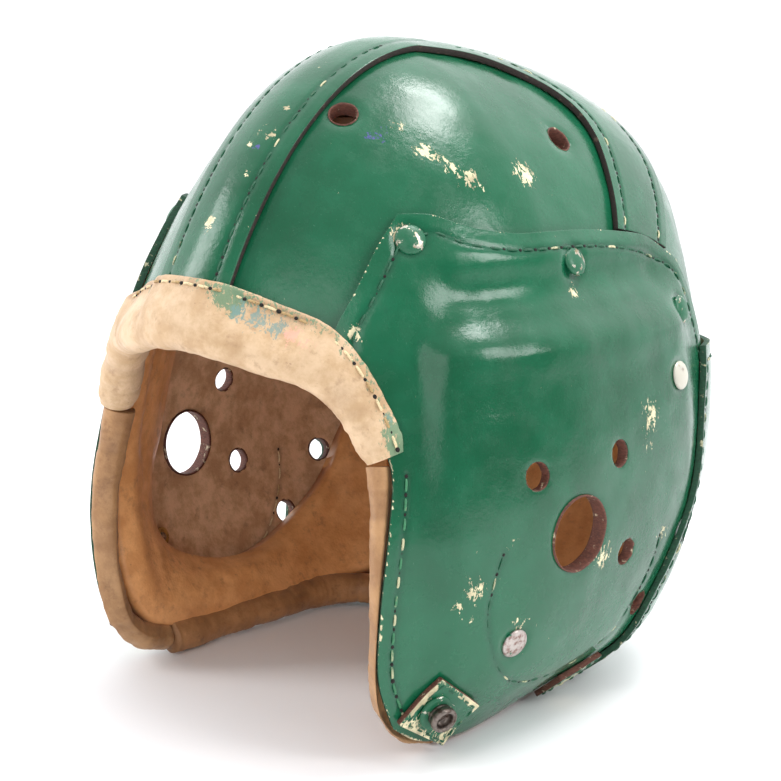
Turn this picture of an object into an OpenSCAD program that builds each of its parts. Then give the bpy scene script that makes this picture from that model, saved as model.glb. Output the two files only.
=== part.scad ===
// Moulded leather football helmet with riveted ear flaps, rolled edges and a
// webbing crown sling. It stands upright on its rim: the wearer faces -Y, the
// wearer's left ear is on the +X side, and Z = 0 is the surface below the rim.

/* [Shell form] */
// Height of the crown leather above the surface below the rim
helmet_h = 226; // [215:1:240]
// Half width of the shell at the ears
half_w = 93; // [87:1:99]
// Reach of the brow in front of the crown axis
front_r = 114; // [107:1:121]
// Reach of the back of the crown behind the crown axis
back_r = 120; // [113:1:127]
// How far the rim curls inward below the ears
rim_curl = 14; // [6:1:18]

/* [Leather] */
// Thickness of each moulded leather panel
leather_t = 2.2; // [1.6:0.1:2.6]
// Thickness of the felt under the crown
felt_t = 2.4; // [1.5:0.1:3]
// Width of the strip over the middle of the crown
strip_w = 31; // [24:1:38]
// Thickness of the padding round each ear
pad_t = 12; // [7:1:15]
// Width of the sling webbing
web_w = 16; // [12:1:17]

/* [Openings] */
// Diameter of each ear hole
ear_hole_d = 25.4; // [20:0.2:30]
// Diameter of each vent hole
vent_d = 9.5; // [6:0.5:12]

/* [Metal] */
// Diameter of the rivet heads
rivet_d = 10; // [7:0.5:12]
// Diameter of the chin strap stud
stud_d = 9; // [7:0.5:11]
// Height of the chin strap stud above its base
stud_h = 4; // [3:0.5:6]

/* [Hidden] */
gap = 0.4;             // clearance between layers that lie on each other
axis_y = -10.25;          // Y of the crown's highest point
side_drop = 150;       // drop from the crown to the widest level at the ears
back_drop = 60;        // drop from the crown to the rearmost level
front_drop = 180;      // drop over which the brow keeps moving forward
curl_z = 25;           // level below which the rim curls inward
back_n = 3.3;          // squareness of the back half of each level
side_o = leather_t + gap;            // outer face of a side panel
felt_o = -leather_t - 3*gap;         // outer face of the crown felt
web_o = felt_o - felt_t - gap;       // outer face of the sling webbing
lining_t = 1.4;                      // thickness of the ear lining leather
web_t = 1.6;                         // thickness of the webbing
shank_r = 1.7;                       // radius of the rivet shanks
bore_r = 1.85;                       // radius of the holes they sit in
shell_z = 3.9;                       // level of the shell's lower edge

// ---- places on the shell as [azimuth from the brow, height] ----
ear_at = [82, 71];
side_vents = [[71, 92], [95, 93], [99, 59], [123, 57], [112, 35]];
crown_vents = [[26, 204], [121, 194]];
sling_at = [[48, 165], [95, 155], [128, 133]];
lining_at = [120, 112];
pocket_at = [67, 39];
snap_at = [50.5, 20.5];
// side panel edges: front, top, rear and bottom
flap_front = [[45, 172.5], [40, 163], [35.5, 150], [32, 139], [32.2, 131], [36, 121],
              [40.2, 109], [43, 97], [42.5, 80], [41, 55], [40.5, 32], [43, 14]];
flap_top = [[45, 172.5], [54, 172], [64, 168], [76, 165.5], [90, 165], [104, 164],
            [116, 162], [126, 158.5], [134, 150]];
flap_rear = [[134, 150], [136, 130], [137, 100], [137, 60], [137, 30], [137, shell_z]];
flap_bottom = [[43, 14], [48, 7], [56, shell_z], [75, shell_z], [95, shell_z],
               [116, shell_z], [137, shell_z]];
// lower edge of the crown leather from the brow to the nape
crown_low = [[0, 144.5], [15, 141.5], [26, 136.5], [33, 135], [40, 150], [47, 161], [60, 158.5],
             [80, 156.5], [100, 156.5], [114, 156], [126, 148], [134, 122], [142, 109],
             [180, 108]];
// stitched upper line of the brow roll, half of it
brow_line = [[0, 151], [10, 149.5], [19, 146], [27, 141.5], [33.5, 134.5], [38.5, 124.5],
             [42, 113.5], [44.5, 103]];
// front edge of the neck panel from its top corner down
neck_edge = [[134, 118], [127, 88], [120, 61], [115, 37], [112, 18], [111, shell_z + 2.5]];
// outer and inner outline of the padding round an ear
pad_outer = [[51, 106], [50, 88], [49.5, 62], [50, 38], [56, 21], [68, 13], [84, 12],
             [102, 12], [118, 13], [131, 16]];
pad_inner = [[72, 101], [68, 82], [63, 64], [61.5, 46], [67, 33], [84, 24], [103, 27],
             [119, 42], [126, 66], [128, 92]];

// ---- shell surface ----
function smooth(v, a, b) = let(t = max(0, min(1, (v - a)/(b - a)))) t*t*(3 - 2*t);
function bell(v, c, w) = exp(-pow((v - c)/w, 2));
function cap(h, r, d, e) = r*pow(1 - pow(1 - min(h/d, 1), e), 1/e);
function tuck(h, d, t, p) = t*pow(max(0, (h - d)/(helmet_h - d)), p);
function curl(az, z) =
    rim_curl*pow(max(0, 1 - z/curl_z), 2)*(0.15 + 0.85*smooth(az, 45, 100));
function side_reach(h) = cap(h, half_w, side_drop, 1.85) - tuck(h, side_drop, 23, 1.75);
function front_reach(h) = cap(h, front_r, front_drop, 1.95);
function back_reach(h) = cap(h, back_r, back_drop, 1.75) - tuck(h, back_drop, 67, 2.8);
function front_n(h) = 1.65 + 0.85*pow(h/helmet_h, 2);
// distance of the surface from the crown axis at an azimuth and a height
function reach(az, z) =
    let(h = helmet_h - min(z, helmet_h - 0.01), fore = cos(az) > 0,
        n = fore ? front_n(h) : back_n, r = fore ? front_reach(h) : back_reach(h),
        s = abs(sin(az))/side_reach(h), c = abs(cos(az))/r)
    pow(pow(s, n) + pow(c, n), -1/n) - curl(az > 180 ? 360 - az : abs(az), z);
function on_shell(az, z) = [reach(az, z)*sin(az), axis_y - reach(az, z)*cos(az), z];
function unit(v) = v/norm(v);
function normal(az, z) =
    unit(cross(on_shell(az, z - 0.5) - on_shell(az, min(z + 0.5, helmet_h - 0.02)),
               on_shell(az + 0.5, z) - on_shell(az - 0.5, z)));
function lift(az, z, off) = on_shell(az, z) + normal(az, z)*off;
// moulded relief of a side panel: ear dome, groove above it and ridge under the seam
function dome(az, z) =
    2.4*smooth(az, 47, 58)*(1 - smooth(az, 118, 132))*(1 - smooth(z, 126, 141))*smooth(z, 8, 30);
function relief(az, z) =
    dome(az, z) + smooth(az, 48, 62)*(1 - smooth(az, 122, 134))
    *(0.9*bell(z, 158, 4) - 1.4*bell(z, 147, 5) + 1.1*bell(z, 134, 6));

// ---- curves and grids ----
function spline(a, b, c, d, t) =
    0.5*(2*b + (c - a)*t + (2*a - 5*b + 4*c - d)*t*t + (3*b - a - 3*c + d)*t*t*t);
function along(pts, t) =
    let(n = len(pts) - 1, s = min(max(t, 0)*n, n - 0.00001), i = floor(s))
    spline(pts[max(i - 1, 0)], pts[i], pts[i + 1], pts[min(i + 2, n)], s - i);
// value of an [azimuth, value] curve at an azimuth
function at_azimuth(pts, az, i = 0) =
    i >= len(pts) - 2 || az < pts[i + 1][0]
    ? let(t = (az - pts[i][0])/(pts[i + 1][0] - pts[i][0]))
      spline(pts[max(i - 1, 0)], pts[i], pts[i + 1], pts[min(i + 2, len(pts) - 1)], t)[1]
    : at_azimuth(pts, az, i + 1);
// patch between four edges: left and right run down, top and bottom run rearward
function patch(left, top, right, bottom, u, v) =
    (1 - v)*along(top, u) + v*along(bottom, u) + (1 - u)*along(left, v) + u*along(right, v)
    - (1 - u)*(1 - v)*along(left, 0) - u*(1 - v)*along(right, 0)
    - (1 - u)*v*along(left, 1) - u*v*along(right, 1);

// closed sheet between an outer and an inner grid of points
module sheet(outer, inner) {
    nu = len(outer) - 1;
    nv = len(outer[0]) - 1;
    m = (nu + 1)*(nv + 1);
    function o(i, j) = i*(nv + 1) + j;
    function k(i, j) = m + o(i, j);
    polyhedron(
        points = [for (g = [outer, inner]) for (row = g) for (p = row) p],
        faces = [
            for (i = [0:nu - 1]) for (j = [0:nv - 1]) each [
                [o(i, j), o(i + 1, j), o(i + 1, j + 1)],
                [o(i, j), o(i + 1, j + 1), o(i, j + 1)],
                [k(i, j), k(i + 1, j + 1), k(i + 1, j)],
                [k(i, j), k(i, j + 1), k(i + 1, j + 1)]],
            for (i = [0:nu - 1]) each [
                [o(i, 0), k(i, 0), k(i + 1, 0)],
                [o(i, 0), k(i + 1, 0), o(i + 1, 0)],
                [o(i, nv), o(i + 1, nv), k(i + 1, nv)],
                [o(i, nv), k(i + 1, nv), k(i, nv)]],
            for (j = [0:nv - 1]) each [
                [o(0, j), o(0, j + 1), k(0, j + 1)],
                [o(0, j), k(0, j + 1), k(0, j)],
                [o(nu, j), k(nu, j), k(nu, j + 1)],
                [o(nu, j), k(nu, j + 1), o(nu, j + 1)]]],
        convexity = 8);
}

// closed bar through rings of points, each ring running the same way round
module bar(rings) {
    n = len(rings[0]);
    last = len(rings) - 1;
    polyhedron(
        points = [for (r = rings) for (p = r) p],
        faces = [
            for (i = [0:last - 1]) for (j = [0:n - 1]) each [
                [i*n + j, (i + 1)*n + j, (i + 1)*n + (j + 1)%n],
                [i*n + j, (i + 1)*n + (j + 1)%n, i*n + (j + 1)%n]],
            [for (j = [0:n - 1]) j],
            [for (j = [n - 1:-1:0]) last*n + j]],
        convexity = 8);
}

// ring of an edge roll: section points are [distance past the line, offset]
function roll_ring(path, t, section) =
    let(e = 0.004, q = along(path, t), a = along(path, max(t - e, 0)),
        b = along(path, min(t + e, 1)), n = normal(q[0], q[1]), p = on_shell(q[0], q[1]),
        d = unit(cross(on_shell(b[0], b[1]) - on_shell(a[0], a[1]), n)))
    [for (s = section) p + d*s[0] + n*s[1]];

// stand children on the shell, their Z along its normal
module on(at, off = 0) {
    n = normal(at[0], at[1]);
    s = unit([cos(at[0]), sin(at[0]), 0]);
    side = unit(s - n*(s*n));
    up = cross(n, side);
    p = lift(at[0], at[1], off);
    multmatrix([[side[0], up[0], n[0], p[0]], [side[1], up[1], n[1], p[1]],
                [side[2], up[2], n[2], p[2]], [0, 0, 0, 1]])
        children();
}
module bore(at, r) on(at) cylinder(r = r, h = 40, center = true, $fn = 48);
module sling_bores() for (at = sling_at) bore(at, bore_r);
module right() mirror([1, 0, 0]) children();

// ---- leather shell ----
// height at which the shell is a distance x from the middle, going up from low
function height_at(az, x, low, high, i = 0) =
    i > 24 ? (low + high)/2
    : let(mid = (low + high)/2)
      abs(on_shell(az, mid)[0]) > x ? height_at(az, x, mid, high, i + 1)
                                    : height_at(az, x, low, mid, i + 1);
// columns stand closer together where the edge under the strip runs steeply
function crown_azimuth(k) = 8 + 165*(0.5*k + 0.25*(1 - cos(180*k)));
function crown_grid(nu, nv, x, low, off) =
    [for (i = [0:nu]) let(az = crown_azimuth(i/nu), b = at_azimuth(crown_low, az) + low,
                          t = height_at(az, x, b, helmet_h - 0.05))
        [for (j = [0:nv]) lift(az, t - (t - b)*pow(j/nv, 1.7), off)]];
module crown_panel() color([0.13, 0.40, 0.28])
    difference() {
        sheet(crown_grid(36, 9, strip_w/2 - 3, 0, 0),
              crown_grid(36, 9, strip_w/2 - 3, 0, -leather_t));
        for (at = crown_vents) bore(at, vent_d/2);
        sling_bores();
    }

// point of the shell in a lengthwise plane, by its angle up from the brow
function level(x, y, z) =
    let(h = helmet_h - z, fore = y < axis_y, n = fore ? front_n(h) : back_n)
    pow(abs(x)/side_reach(h), n) + pow(abs(y - axis_y)/(fore ? front_reach(h) : back_reach(h)), n);
function hit(x, a, lo = 60, hi = 150, i = 0) =
    let(r = (lo + hi)/2, y = axis_y - r*cos(a), z = 105 + r*sin(a))
    i > 26 ? [x, y, z]
    : z > helmet_h - 0.01 || level(x, y, z) > 1 ? hit(x, a, lo, r, i + 1)
                                                 : hit(x, a, r, hi, i + 1);
function hit_normal(x, a) =
    unit(cross(hit(x, a - 1.5) - hit(x, a + 1.5), hit(x + 1.5, a) - hit(x - 1.5, a)));
function strip_grid(off, w) =
    [for (x = [-1:1/3:1.01]) [for (a = [181:-3.17:22]) hit(x*w/2, a) + hit_normal(x*w/2, a)*off]];
module crown_strip() color([0.12, 0.37, 0.26])
    sheet(strip_grid(leather_t + gap, strip_w), strip_grid(gap, strip_w));

// band from the strip down to the top seam of the ear flap, flared where it meets the
// strip; its edges are [x, angle up from the brow]
band_x = strip_w/2 + gap;
band_front = [[band_x, 90], [19, 97], [24, 103], [30, 108], [37, 114], [44, 118], [52, 120.3],
              [60, 121.3], [67, 122.2], [72.4, 122.8]];
band_rear = [[band_x, 143], [18.5, 137.5], [23, 134.5], [30, 133.3], [38, 133.8], [46, 135.3],
             [54, 137.8], [62, 140], [68, 141.8], [73.5, 143.5]];
band_inner = [[band_x, 90], [band_x, 108], [band_x, 125], [band_x, 143]];
band_outer = [[72.4, 122.8], [72.6, 128], [72.9, 134], [73.2, 139], [73.5, 143.5]];
function band_grid(off) =
    [for (u = [0:1/18:1.001]) [for (v = [1:-1/9:-0.001])
        let(q = patch(band_inner, band_front, band_outer, band_rear, u, v))
        hit(q[0], q[1]) + hit_normal(q[0], q[1])*off]];
module crown_band() color([0.12, 0.37, 0.26])
    sheet(band_grid(leather_t + gap), band_grid(gap));

function flap_grid(nu, nv, off) =
    [for (i = [0:nu]) [for (j = [0:nv])
        let(q = patch(flap_front, flap_top, flap_rear, flap_bottom, i/nu, j/nv))
        lift(q[0], q[1], off + relief(q[0], q[1]))]];
module side_panel() color([0.10, 0.36, 0.25])
    difference() {
        sheet(flap_grid(26, 18, side_o), flap_grid(26, 18, gap));
        bore(ear_at, ear_hole_d/2);
        for (at = side_vents) bore(at, vent_d/2);
        sling_bores();
        bore(lining_at, bore_r);
        bore(pocket_at, bore_r);
        bore(snap_at, bore_r);
    }

// the neck panel lies on both side panels and the strip, and on the crown between
function neck_seat(az) = gap + side_o*(1 - smooth(az, 139, 148) + smooth(az, 165, 171));
function neck_point(u, v, off) =
    let(e = along(neck_edge, v), az = e[0] + (360 - 2*e[0])*u,
        fold = az > 180 ? 360 - az : az)
    lift(az, e[1], off + neck_seat(fold) + relief(fold, e[1]));
module neck_panel() color([0.11, 0.36, 0.25])
    difference() {
        sheet([for (i = [0:26]) [for (j = [0:10]) neck_point(i/26, j/10, leather_t)]],
              [for (i = [0:26]) [for (j = [0:10]) neck_point(i/26, j/10, 0)]]);
        for (at = side_vents) {
            bore(at, vent_d/2);
            right() bore(at, vent_d/2);
        }
    }

// ---- rolled edges ----
// The brow roll is a padded fold of leather that grips the edge of the shell.
function brow_section(t) =
    let(k = 1 - abs(2*t - 1), w = 10 + 10*smooth(k, 0, 0.75), m = 1 - k, top = smooth(m, 0.38, 0.5) + 1 - smooth(m, 0.13, 0.2),
        f = side_o*top + 0.5, b = web_o - 0.3, grip = max(0.42*w, 6.4))
    [[-2.5, f], [-2.3, f + 1.4], [0.35*w, f + 3.4], [0.75*w, 4.5],
     [w, 2.2], [w + 1.5, -2.5], [0.85*w, -8], [0.4*w, -9.5], [-1, b - 2.2], [-2.5, b],
     [grip, b], [grip, f]];
brow_path = [for (i = [len(brow_line) - 1:-1:1]) [-brow_line[i][0], brow_line[i][1]],
             each brow_line];
module brow_roll() color([0.74, 0.56, 0.36])
    bar([for (i = [0:44]) roll_ring(brow_path, i/44, brow_section(i/44))]);

// front edge of a flap below the brow roll, then its rounded lower corner
edge_line = [[43, 99], [43, 88], [42, 70], [41, 50], [40.5, 32], [41.5, 18], [45.5, 9], [52, 5]];
edge_section = [[-7, -1.9], [0.4, -1.6], [0.6, 1.2], [3.4, 1.9], [6, 0.2], [7, -3.5],
                [5, -7.6], [1, -9.2], [-5, -7.6], [-7.2, -5]];
// share of its full width and depth that the roll keeps, least below mid height
function edge_swell(t) = 1 - 0.85*smooth(t, 0.05, 0.55) + 0.35*smooth(t, 0.75, 0.95);
function edge_depth(t) = 0.6 + 0.4*edge_swell(t);
function edge_ring(t) =
    roll_ring(edge_line, t, [for (s = edge_section)
                             [s[0] > 0.5 ? 0.5 + (s[0] - 0.5)*edge_swell(t) : s[0],
                              s[1] < -2 ? -2 + (s[1] + 2)*edge_depth(t) : s[1]]]);
module edge_roll() color([0.72, 0.54, 0.35])
    bar([for (i = [0:20]) edge_ring(i/20)]);

// one long roll along the bottom of both flaps and round the nape
base_path = [[53.2, 4.6], for (az = [60:8:300]) [az, shell_z], [306.8, 4.6]];
base_section = [[-7, -1.9], [0.4, -1.6], [0.5, 0.5], [3, 1.2], [5.5, -1], [6.2, -4.5],
                [4, -8.2], [0, -9.4], [-5, -8], [-7.2, -5]];
module base_roll() color([0.66, 0.48, 0.31])
    bar([for (i = [0:32]) roll_ring(base_path, i/32, base_section)]);

// ---- linings and padding ----
module felt_lining() color([0.62, 0.52, 0.40])
    difference() {
        sheet(crown_grid(30, 8, 0.4, 2, felt_o), crown_grid(30, 8, 0.4, 2, felt_o - felt_t));
        for (at = crown_vents) bore(at, vent_d/2);
        sling_bores();
    }

lining_front = [[58, 138], [53, 118], [51, 95], [50, 70], [50, 45], [52, 20]];
lining_top = [[58, 138], [78, 140], [98, 140], [118, 134], [130, 124]];
lining_rear = [[130, 124], [133, 100], [133, 70], [133, 40], [132, 14]];
lining_bottom = [[52, 20], [70, 14], [92, 13], [112, 13], [132, 14]];
function lining_grid(off) =
    [for (i = [0:18]) [for (j = [0:12])
        let(q = patch(lining_front, lining_top, lining_rear, lining_bottom, i/18, j/12))
        lift(q[0], q[1], off + relief(q[0], q[1]))]];
module ear_lining() color([0.62, 0.43, 0.30])
    difference() {
        sheet(lining_grid(-0.1), lining_grid(-0.1 - lining_t));
        bore(ear_at, ear_hole_d/2 + 0.6);
        for (at = side_vents) bore(at, vent_d/2);
        bore(lining_at, bore_r);
        bore(pocket_at, bore_r);
        bore(snap_at, bore_r);
    }

pad_o = -lining_t - 2*gap;             // outer face of the padding
function pad_point(t, s, deep) =
    let(q = (1 - s)*along(pad_outer, t) + s*along(pad_inner, t),
        swell = pad_t*pow(sin(18 + 144*s), 0.6)*pow(sin(12 + 150*t), 0.4))
    lift(q[0], q[1], pad_o + relief(q[0], q[1])*smooth(s, 0, 0.4) - (deep ? swell : 0));
module ear_pad() color([0.68, 0.48, 0.32])
    sheet([for (s = [1:-0.2:0]) [for (i = [24:-1:0]) pad_point(i/24, s, false)]],
          [for (s = [1:-0.2:0]) [for (i = [24:-1:0]) pad_point(i/24, s, true)]]);

function neck_pad_point(u, v, deep) =
    let(az = 137 + 86*u, z = 104 - 92*v, seat = felt_o*smooth(z, 98, 106),
        swell = pad_t*pow(sin(10 + 160*u), 0.4)*pow(sin(12 + 150*v), 0.5))
    lift(az, z, pad_o + seat - (deep ? swell : 0));
module neck_pad() color([0.68, 0.48, 0.32])
    sheet([for (i = [0:14]) [for (j = [0:7]) neck_pad_point(i/14, j/7, false)]],
          [for (i = [0:14]) [for (j = [0:7]) neck_pad_point(i/14, j/7, true)]]);

// ---- chin strap fittings ----
function square_grid(corners, base) =
    [for (i = [0:5]) [for (j = [0:5])
        let(u = i/5, v = j/5, q = (1 - u)*(1 - v)*corners[0] + u*(1 - v)*corners[1]
                                + u*v*corners[2] + (1 - u)*v*corners[3])
        lift(q[0], q[1], base + relief(q[0], q[1]))]];
snap_corners = [[43.3, 17.5], [51, 32.5], [60, 19.5], [53, 4.5]];
module snap_tab() color([0.30, 0.44, 0.30])
    difference() {
        sheet(square_grid(snap_corners, side_o + gap + leather_t),
              square_grid(snap_corners, side_o + gap));
        bore(snap_at, bore_r);
    }
strap_corners = [[92, 15], [103, 21], [104, 11], [93, 6]];
module strap_tab() color([0.45, 0.48, 0.34])
    sheet(square_grid(strap_corners, side_o + gap + leather_t),
          square_grid(strap_corners, side_o + gap));

snap_o = side_o + gap + leather_t + 1;     // seat of the snap base
stud_grip = snap_o + 2;                      // length of the stud's shank
module snap_base() color([0.35, 0.33, 0.30]) on(snap_at, snap_o)
    difference() {
        cylinder(d = stud_d + 4, h = 0.9, $fn = 64);
        translate([0, 0, -1]) cylinder(r = bore_r, h = 3, $fn = 48);
    }
// hollow headed stud: the strap's socket snaps over its head and grips the waist
module snap_stud() color([0.42, 0.38, 0.34]) on(snap_at, snap_o + 1)
    rotate_extrude($fn = 64)
        polygon([[0, -stud_grip], [shank_r, -stud_grip], [shank_r, 0], [stud_d/2 - 0.8, 0],
                 [stud_d/2 - 0.8, 0.4*stud_h], [stud_d/2, 0.5*stud_h],
                 [stud_d/2, 0.8*stud_h], [stud_d/2 - 0.4, 0.95*stud_h],
                 [stud_d/2 - 1.1, stud_h], [stud_d/2 - 2, 0.9*stud_h],
                 [stud_d/2 - 2.2, 0.35*stud_h], [0, 0.35*stud_h]]);

// ---- crown sling ----
ring_z = 202;          // upper face of the leather ring that the webs meet
ring_t = 2.4;          // thickness of that ring
// a web runs up inside the shell from its rivet to the ring below the crown
function web_frame(at) =
    let(out = [sin(at[0]), -cos(at[0]), 0], end = [0, axis_y, ring_z - ring_t - web_t/2 - gap] + out*29)
    [lift(at[0], at[1] - 7, web_o - web_t/2 - 4*gap), lift(at[0], at[1] + 32, web_o - 10),
     end + out*24, end];
function bezier(p, t) = pow(1 - t, 3)*p[0] + 3*pow(1 - t, 2)*t*p[1] + 3*(1 - t)*t*t*p[2]
                        + pow(t, 3)*p[3];
function web_grid(at, face) =
    let(p = web_frame(at), side = [cos(at[0]), sin(at[0]), 0])
    [for (s = [-1, 1]) [for (t = [1:-1/12:-0.01])
        let(e = 0.01, up = unit(cross(bezier(p, t + e) - bezier(p, t - e), side)))
        bezier(p, t) + side*s*web_w/2 - up*face*web_t/2]];
module web(at) color([0.60, 0.42, 0.30])
    difference() {
        sheet(web_grid(at, 1), web_grid(at, -1));
        bore(at, bore_r);
    }
module crown_ring() color([0.50, 0.33, 0.22])
    translate([0, axis_y, ring_z - ring_t])
        difference() {
            cylinder(r = 36, h = ring_t, $fn = 72);
            translate([0, 0, -1]) cylinder(r = 8, h = 5, $fn = 72);
        }

// ---- rivets ----
// domed head outside, shank through the layers, head seated on the leather
module rivet(at, seat, grip) on(at, seat)
    rotate_extrude($fn = 48)
        polygon([[0, -grip], [shank_r, -grip], [shank_r, 0], [rivet_d/2, 0],
                 [rivet_d/2, 0.5], [0.42*rivet_d, 1.1], [0.3*rivet_d, 1.6],
                 [0.15*rivet_d, 1.95], [0, 2.05]]);
module burr(at, seat) on(at, seat)
    rotate_extrude($fn = 48)
        polygon([[bore_r, 0], [3.8, 0], [3.8, 0.8], [bore_r, 1]]);
function seat_at(at) = side_o + relief(at[0], at[1]) + 0.45;
sling_grip = leather_t*2 + felt_t + web_t + 10;
module sling_rivets() color([0.14, 0.42, 0.30])
    for (m = [0, 1]) mirror([m, 0, 0])
        for (at = sling_at) rivet(at, seat_at(at), sling_grip + relief(at[0], at[1]));
module lining_rivets() color([0.80, 0.79, 0.70])
    for (m = [0, 1]) mirror([m, 0, 0]) rivet(lining_at, seat_at(lining_at), 6);
module ear_rivets() color([0.52, 0.46, 0.43])
    for (m = [0, 1]) mirror([m, 0, 0]) rivet(pocket_at, seat_at(pocket_at), 6);
module sling_burrs() color([0.62, 0.50, 0.30])
    for (m = [0, 1]) mirror([m, 0, 0])
        for (at = sling_at) burr(at, web_o - web_t - 6.6);
module lining_burrs() color([0.62, 0.50, 0.30])
    for (m = [0, 1]) mirror([m, 0, 0])
        for (at = [lining_at, pocket_at]) burr(at, relief(at[0], at[1]) - lining_t - 1.5);

crown_panel();  // crown_panel_left
right() crown_panel();  // crown_panel_right
crown_strip();
crown_band();  // crown_band_left
right() crown_band();  // crown_band_right
side_panel();  // side_panel_left
right() side_panel();  // side_panel_right
neck_panel();
brow_roll();
edge_roll();  // edge_roll_left
right() edge_roll();  // edge_roll_right
base_roll();
felt_lining();  // felt_lining_left
right() felt_lining();  // felt_lining_right
ear_lining();  // ear_lining_left
right() ear_lining();  // ear_lining_right
ear_pad();  // ear_pad_left
right() ear_pad();  // ear_pad_right
neck_pad();
snap_tab();  // snap_tab_left
right() snap_tab();  // snap_tab_right
strap_tab();  // strap_tab_left
right() strap_tab();  // strap_tab_right
snap_base();  // snap_base_left
right() snap_base();  // snap_base_right
snap_stud();  // snap_stud_left
right() snap_stud();  // snap_stud_right
web(sling_at[0]);  // web_front_left
right() web(sling_at[0]);  // web_front_right
web(sling_at[1]);  // web_mid_left
right() web(sling_at[1]);  // web_mid_right
web(sling_at[2]);  // web_rear_left
right() web(sling_at[2]);  // web_rear_right
crown_ring();
sling_rivets();
lining_rivets();
ear_rivets();
sling_burrs();
lining_burrs();
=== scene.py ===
"""Looks of a moulded leather football helmet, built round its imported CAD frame.

Shell positions are given as an azimuth from the brow towards the wearer's left, in degrees,
and a height, in millimetres. Meshes are made in millimetres and scaled to metres at the end.
"""
import math

import bpy
import numpy as np
from mathutils import Matrix, Vector, noise


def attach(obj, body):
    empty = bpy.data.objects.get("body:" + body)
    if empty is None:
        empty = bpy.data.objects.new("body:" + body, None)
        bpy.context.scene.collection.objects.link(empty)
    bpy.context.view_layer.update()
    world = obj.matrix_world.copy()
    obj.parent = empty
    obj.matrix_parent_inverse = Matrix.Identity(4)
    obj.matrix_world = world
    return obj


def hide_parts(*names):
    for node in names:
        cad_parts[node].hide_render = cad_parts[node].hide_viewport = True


MM = 0.001
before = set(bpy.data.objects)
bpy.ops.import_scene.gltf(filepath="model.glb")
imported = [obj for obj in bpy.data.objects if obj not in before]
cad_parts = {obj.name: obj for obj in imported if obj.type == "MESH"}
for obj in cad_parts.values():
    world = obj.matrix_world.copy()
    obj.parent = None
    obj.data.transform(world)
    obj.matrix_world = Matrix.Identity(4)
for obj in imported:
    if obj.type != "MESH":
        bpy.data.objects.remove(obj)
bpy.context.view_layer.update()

# ---- shell form, as in the CAD, but for a wider ear pad ----
HELMET_H, HALF_W, FRONT_R, BACK_R, RIM_CURL = 226.0, 93.0, 114.0, 120.0, 14.0
AXIS_Y, SIDE_DROP, BACK_DROP, FRONT_DROP, CURL_Z, BACK_N = -10.25, 150.0, 60.0, 180.0, 25.0, 3.3
LEATHER_T, GAP, FELT_T, LINING_T, PAD_T, STRIP_W = 2.2, 0.4, 2.4, 1.4, 12.0, 31.0
SIDE_O = LEATHER_T + GAP
TAB_O = SIDE_O + GAP
FELT_O = -LEATHER_T - 3*GAP
WEB_O = FELT_O - FELT_T - GAP
PAD_O = -LINING_T - 2*GAP
SHELL_Z, BROW_Z = 3.9, 105
EAR_R, VENT_R = 12.7, 4.75
EAR_AT = (82, 71)
SIDE_VENTS = [(71, 92), (95, 93), (99, 59), (123, 57), (112, 35)]
CROWN_VENTS = [(26, 204), (121, 194)]
SLING_AT = [(48, 165), (95, 155), (128, 133)]
LINING_AT, POCKET_AT, SNAP_AT = (120, 112), (67, 39), (50.5, 20.5)
FLAP_FRONT = [(45, 172.5), (40, 163), (35.5, 150), (32, 139), (32.2, 131), (36, 121), (40.2, 109),
              (43, 97), (42.5, 80), (41, 55), (40.5, 32), (43, 14)]
FLAP_TOP = [(45, 172.5), (54, 172), (64, 168), (76, 165.5), (90, 165), (104, 164), (116, 162),
            (126, 158.5), (134, 150)]
FLAP_REAR = [(134, 150), (136, 130), (137, 100), (137, 60), (137, 30), (137, SHELL_Z)]
FLAP_BOTTOM = [(43, 14), (48, 7), (56, SHELL_Z), (75, SHELL_Z), (95, SHELL_Z), (116, SHELL_Z),
               (137, SHELL_Z)]
CROWN_LOW = [(0, 144.5), (15, 141.5), (26, 136.5), (33, 135), (40, 150), (47, 161), (60, 158.5),
             (80, 156.5), (100, 156.5), (114, 156), (126, 148), (134, 122), (142, 109), (180, 108)]
BROW_LINE = [(0, 151), (10, 149.5), (19, 146), (27, 141.5), (33.5, 134.5), (38.5, 124.5),
             (42, 113.5), (44.5, 103)]
NECK_EDGE = [(134, 118), (127, 88), (120, 61), (115, 37), (112, 18), (111, SHELL_Z + 2.5)]
PAD_OUTER = [(46, 124), (44.5, 96), (44, 64), (44, 36), (49, 13), (64, 5.5), (84, 4.8), (102, 4.8),
             (120, 6), (141, 11)]
PAD_INNER = [(72, 118), (68, 82), (63, 64), (61.5, 46), (67, 33), (84, 24), (103, 27), (120, 42),
             (128, 66), (137, 96)]
EDGE_LINE = [(43, 99), (43, 88), (42, 70), (41, 50), (40.5, 32), (41.5, 18), (45.5, 9), (52, 5)]
LINING_EDGES = ([(58, 138), (53, 118), (51, 95), (50, 70), (50, 45), (52, 20)],
                [(58, 138), (78, 140), (98, 140), (118, 134), (130, 124)],
                [(130, 124), (133, 100), (133, 70), (133, 40), (132, 14)],
                [(52, 20), (70, 14), (92, 13), (112, 13), (132, 14)])
POCKET_ROW = [(63, 70), (61, 61), (60, 51), (61, 41), (63.5, 32), (67.5, 25), (73, 21.5),
              (80, 19.5), (88, 19.8), (96, 22), (104, 28), (109, 38), (111.5, 49), (112, 60)]
SNAP_CORNERS = [(43.3, 17.5), (51, 32.5), (60, 19.5), (53, 4.5)]
STRAP_CORNERS = [(92, 15), (103, 21), (104, 11), (93, 6)]
HOLE_REACH = 12
ROW_WIDTH = 1.1
MIRROR = np.array([-1, 1, 1])
PATH_ASPECT = np.array([1.6, 1])


def smooth(v, a, b):
    """0 below a, 1 above b and a smooth step between."""
    t = np.clip((v - a)/(b - a), 0, 1)
    return t*t*(3 - 2*t)


def bell(v, centre, width):
    return np.exp(-((v - centre)/width)**2)


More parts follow.
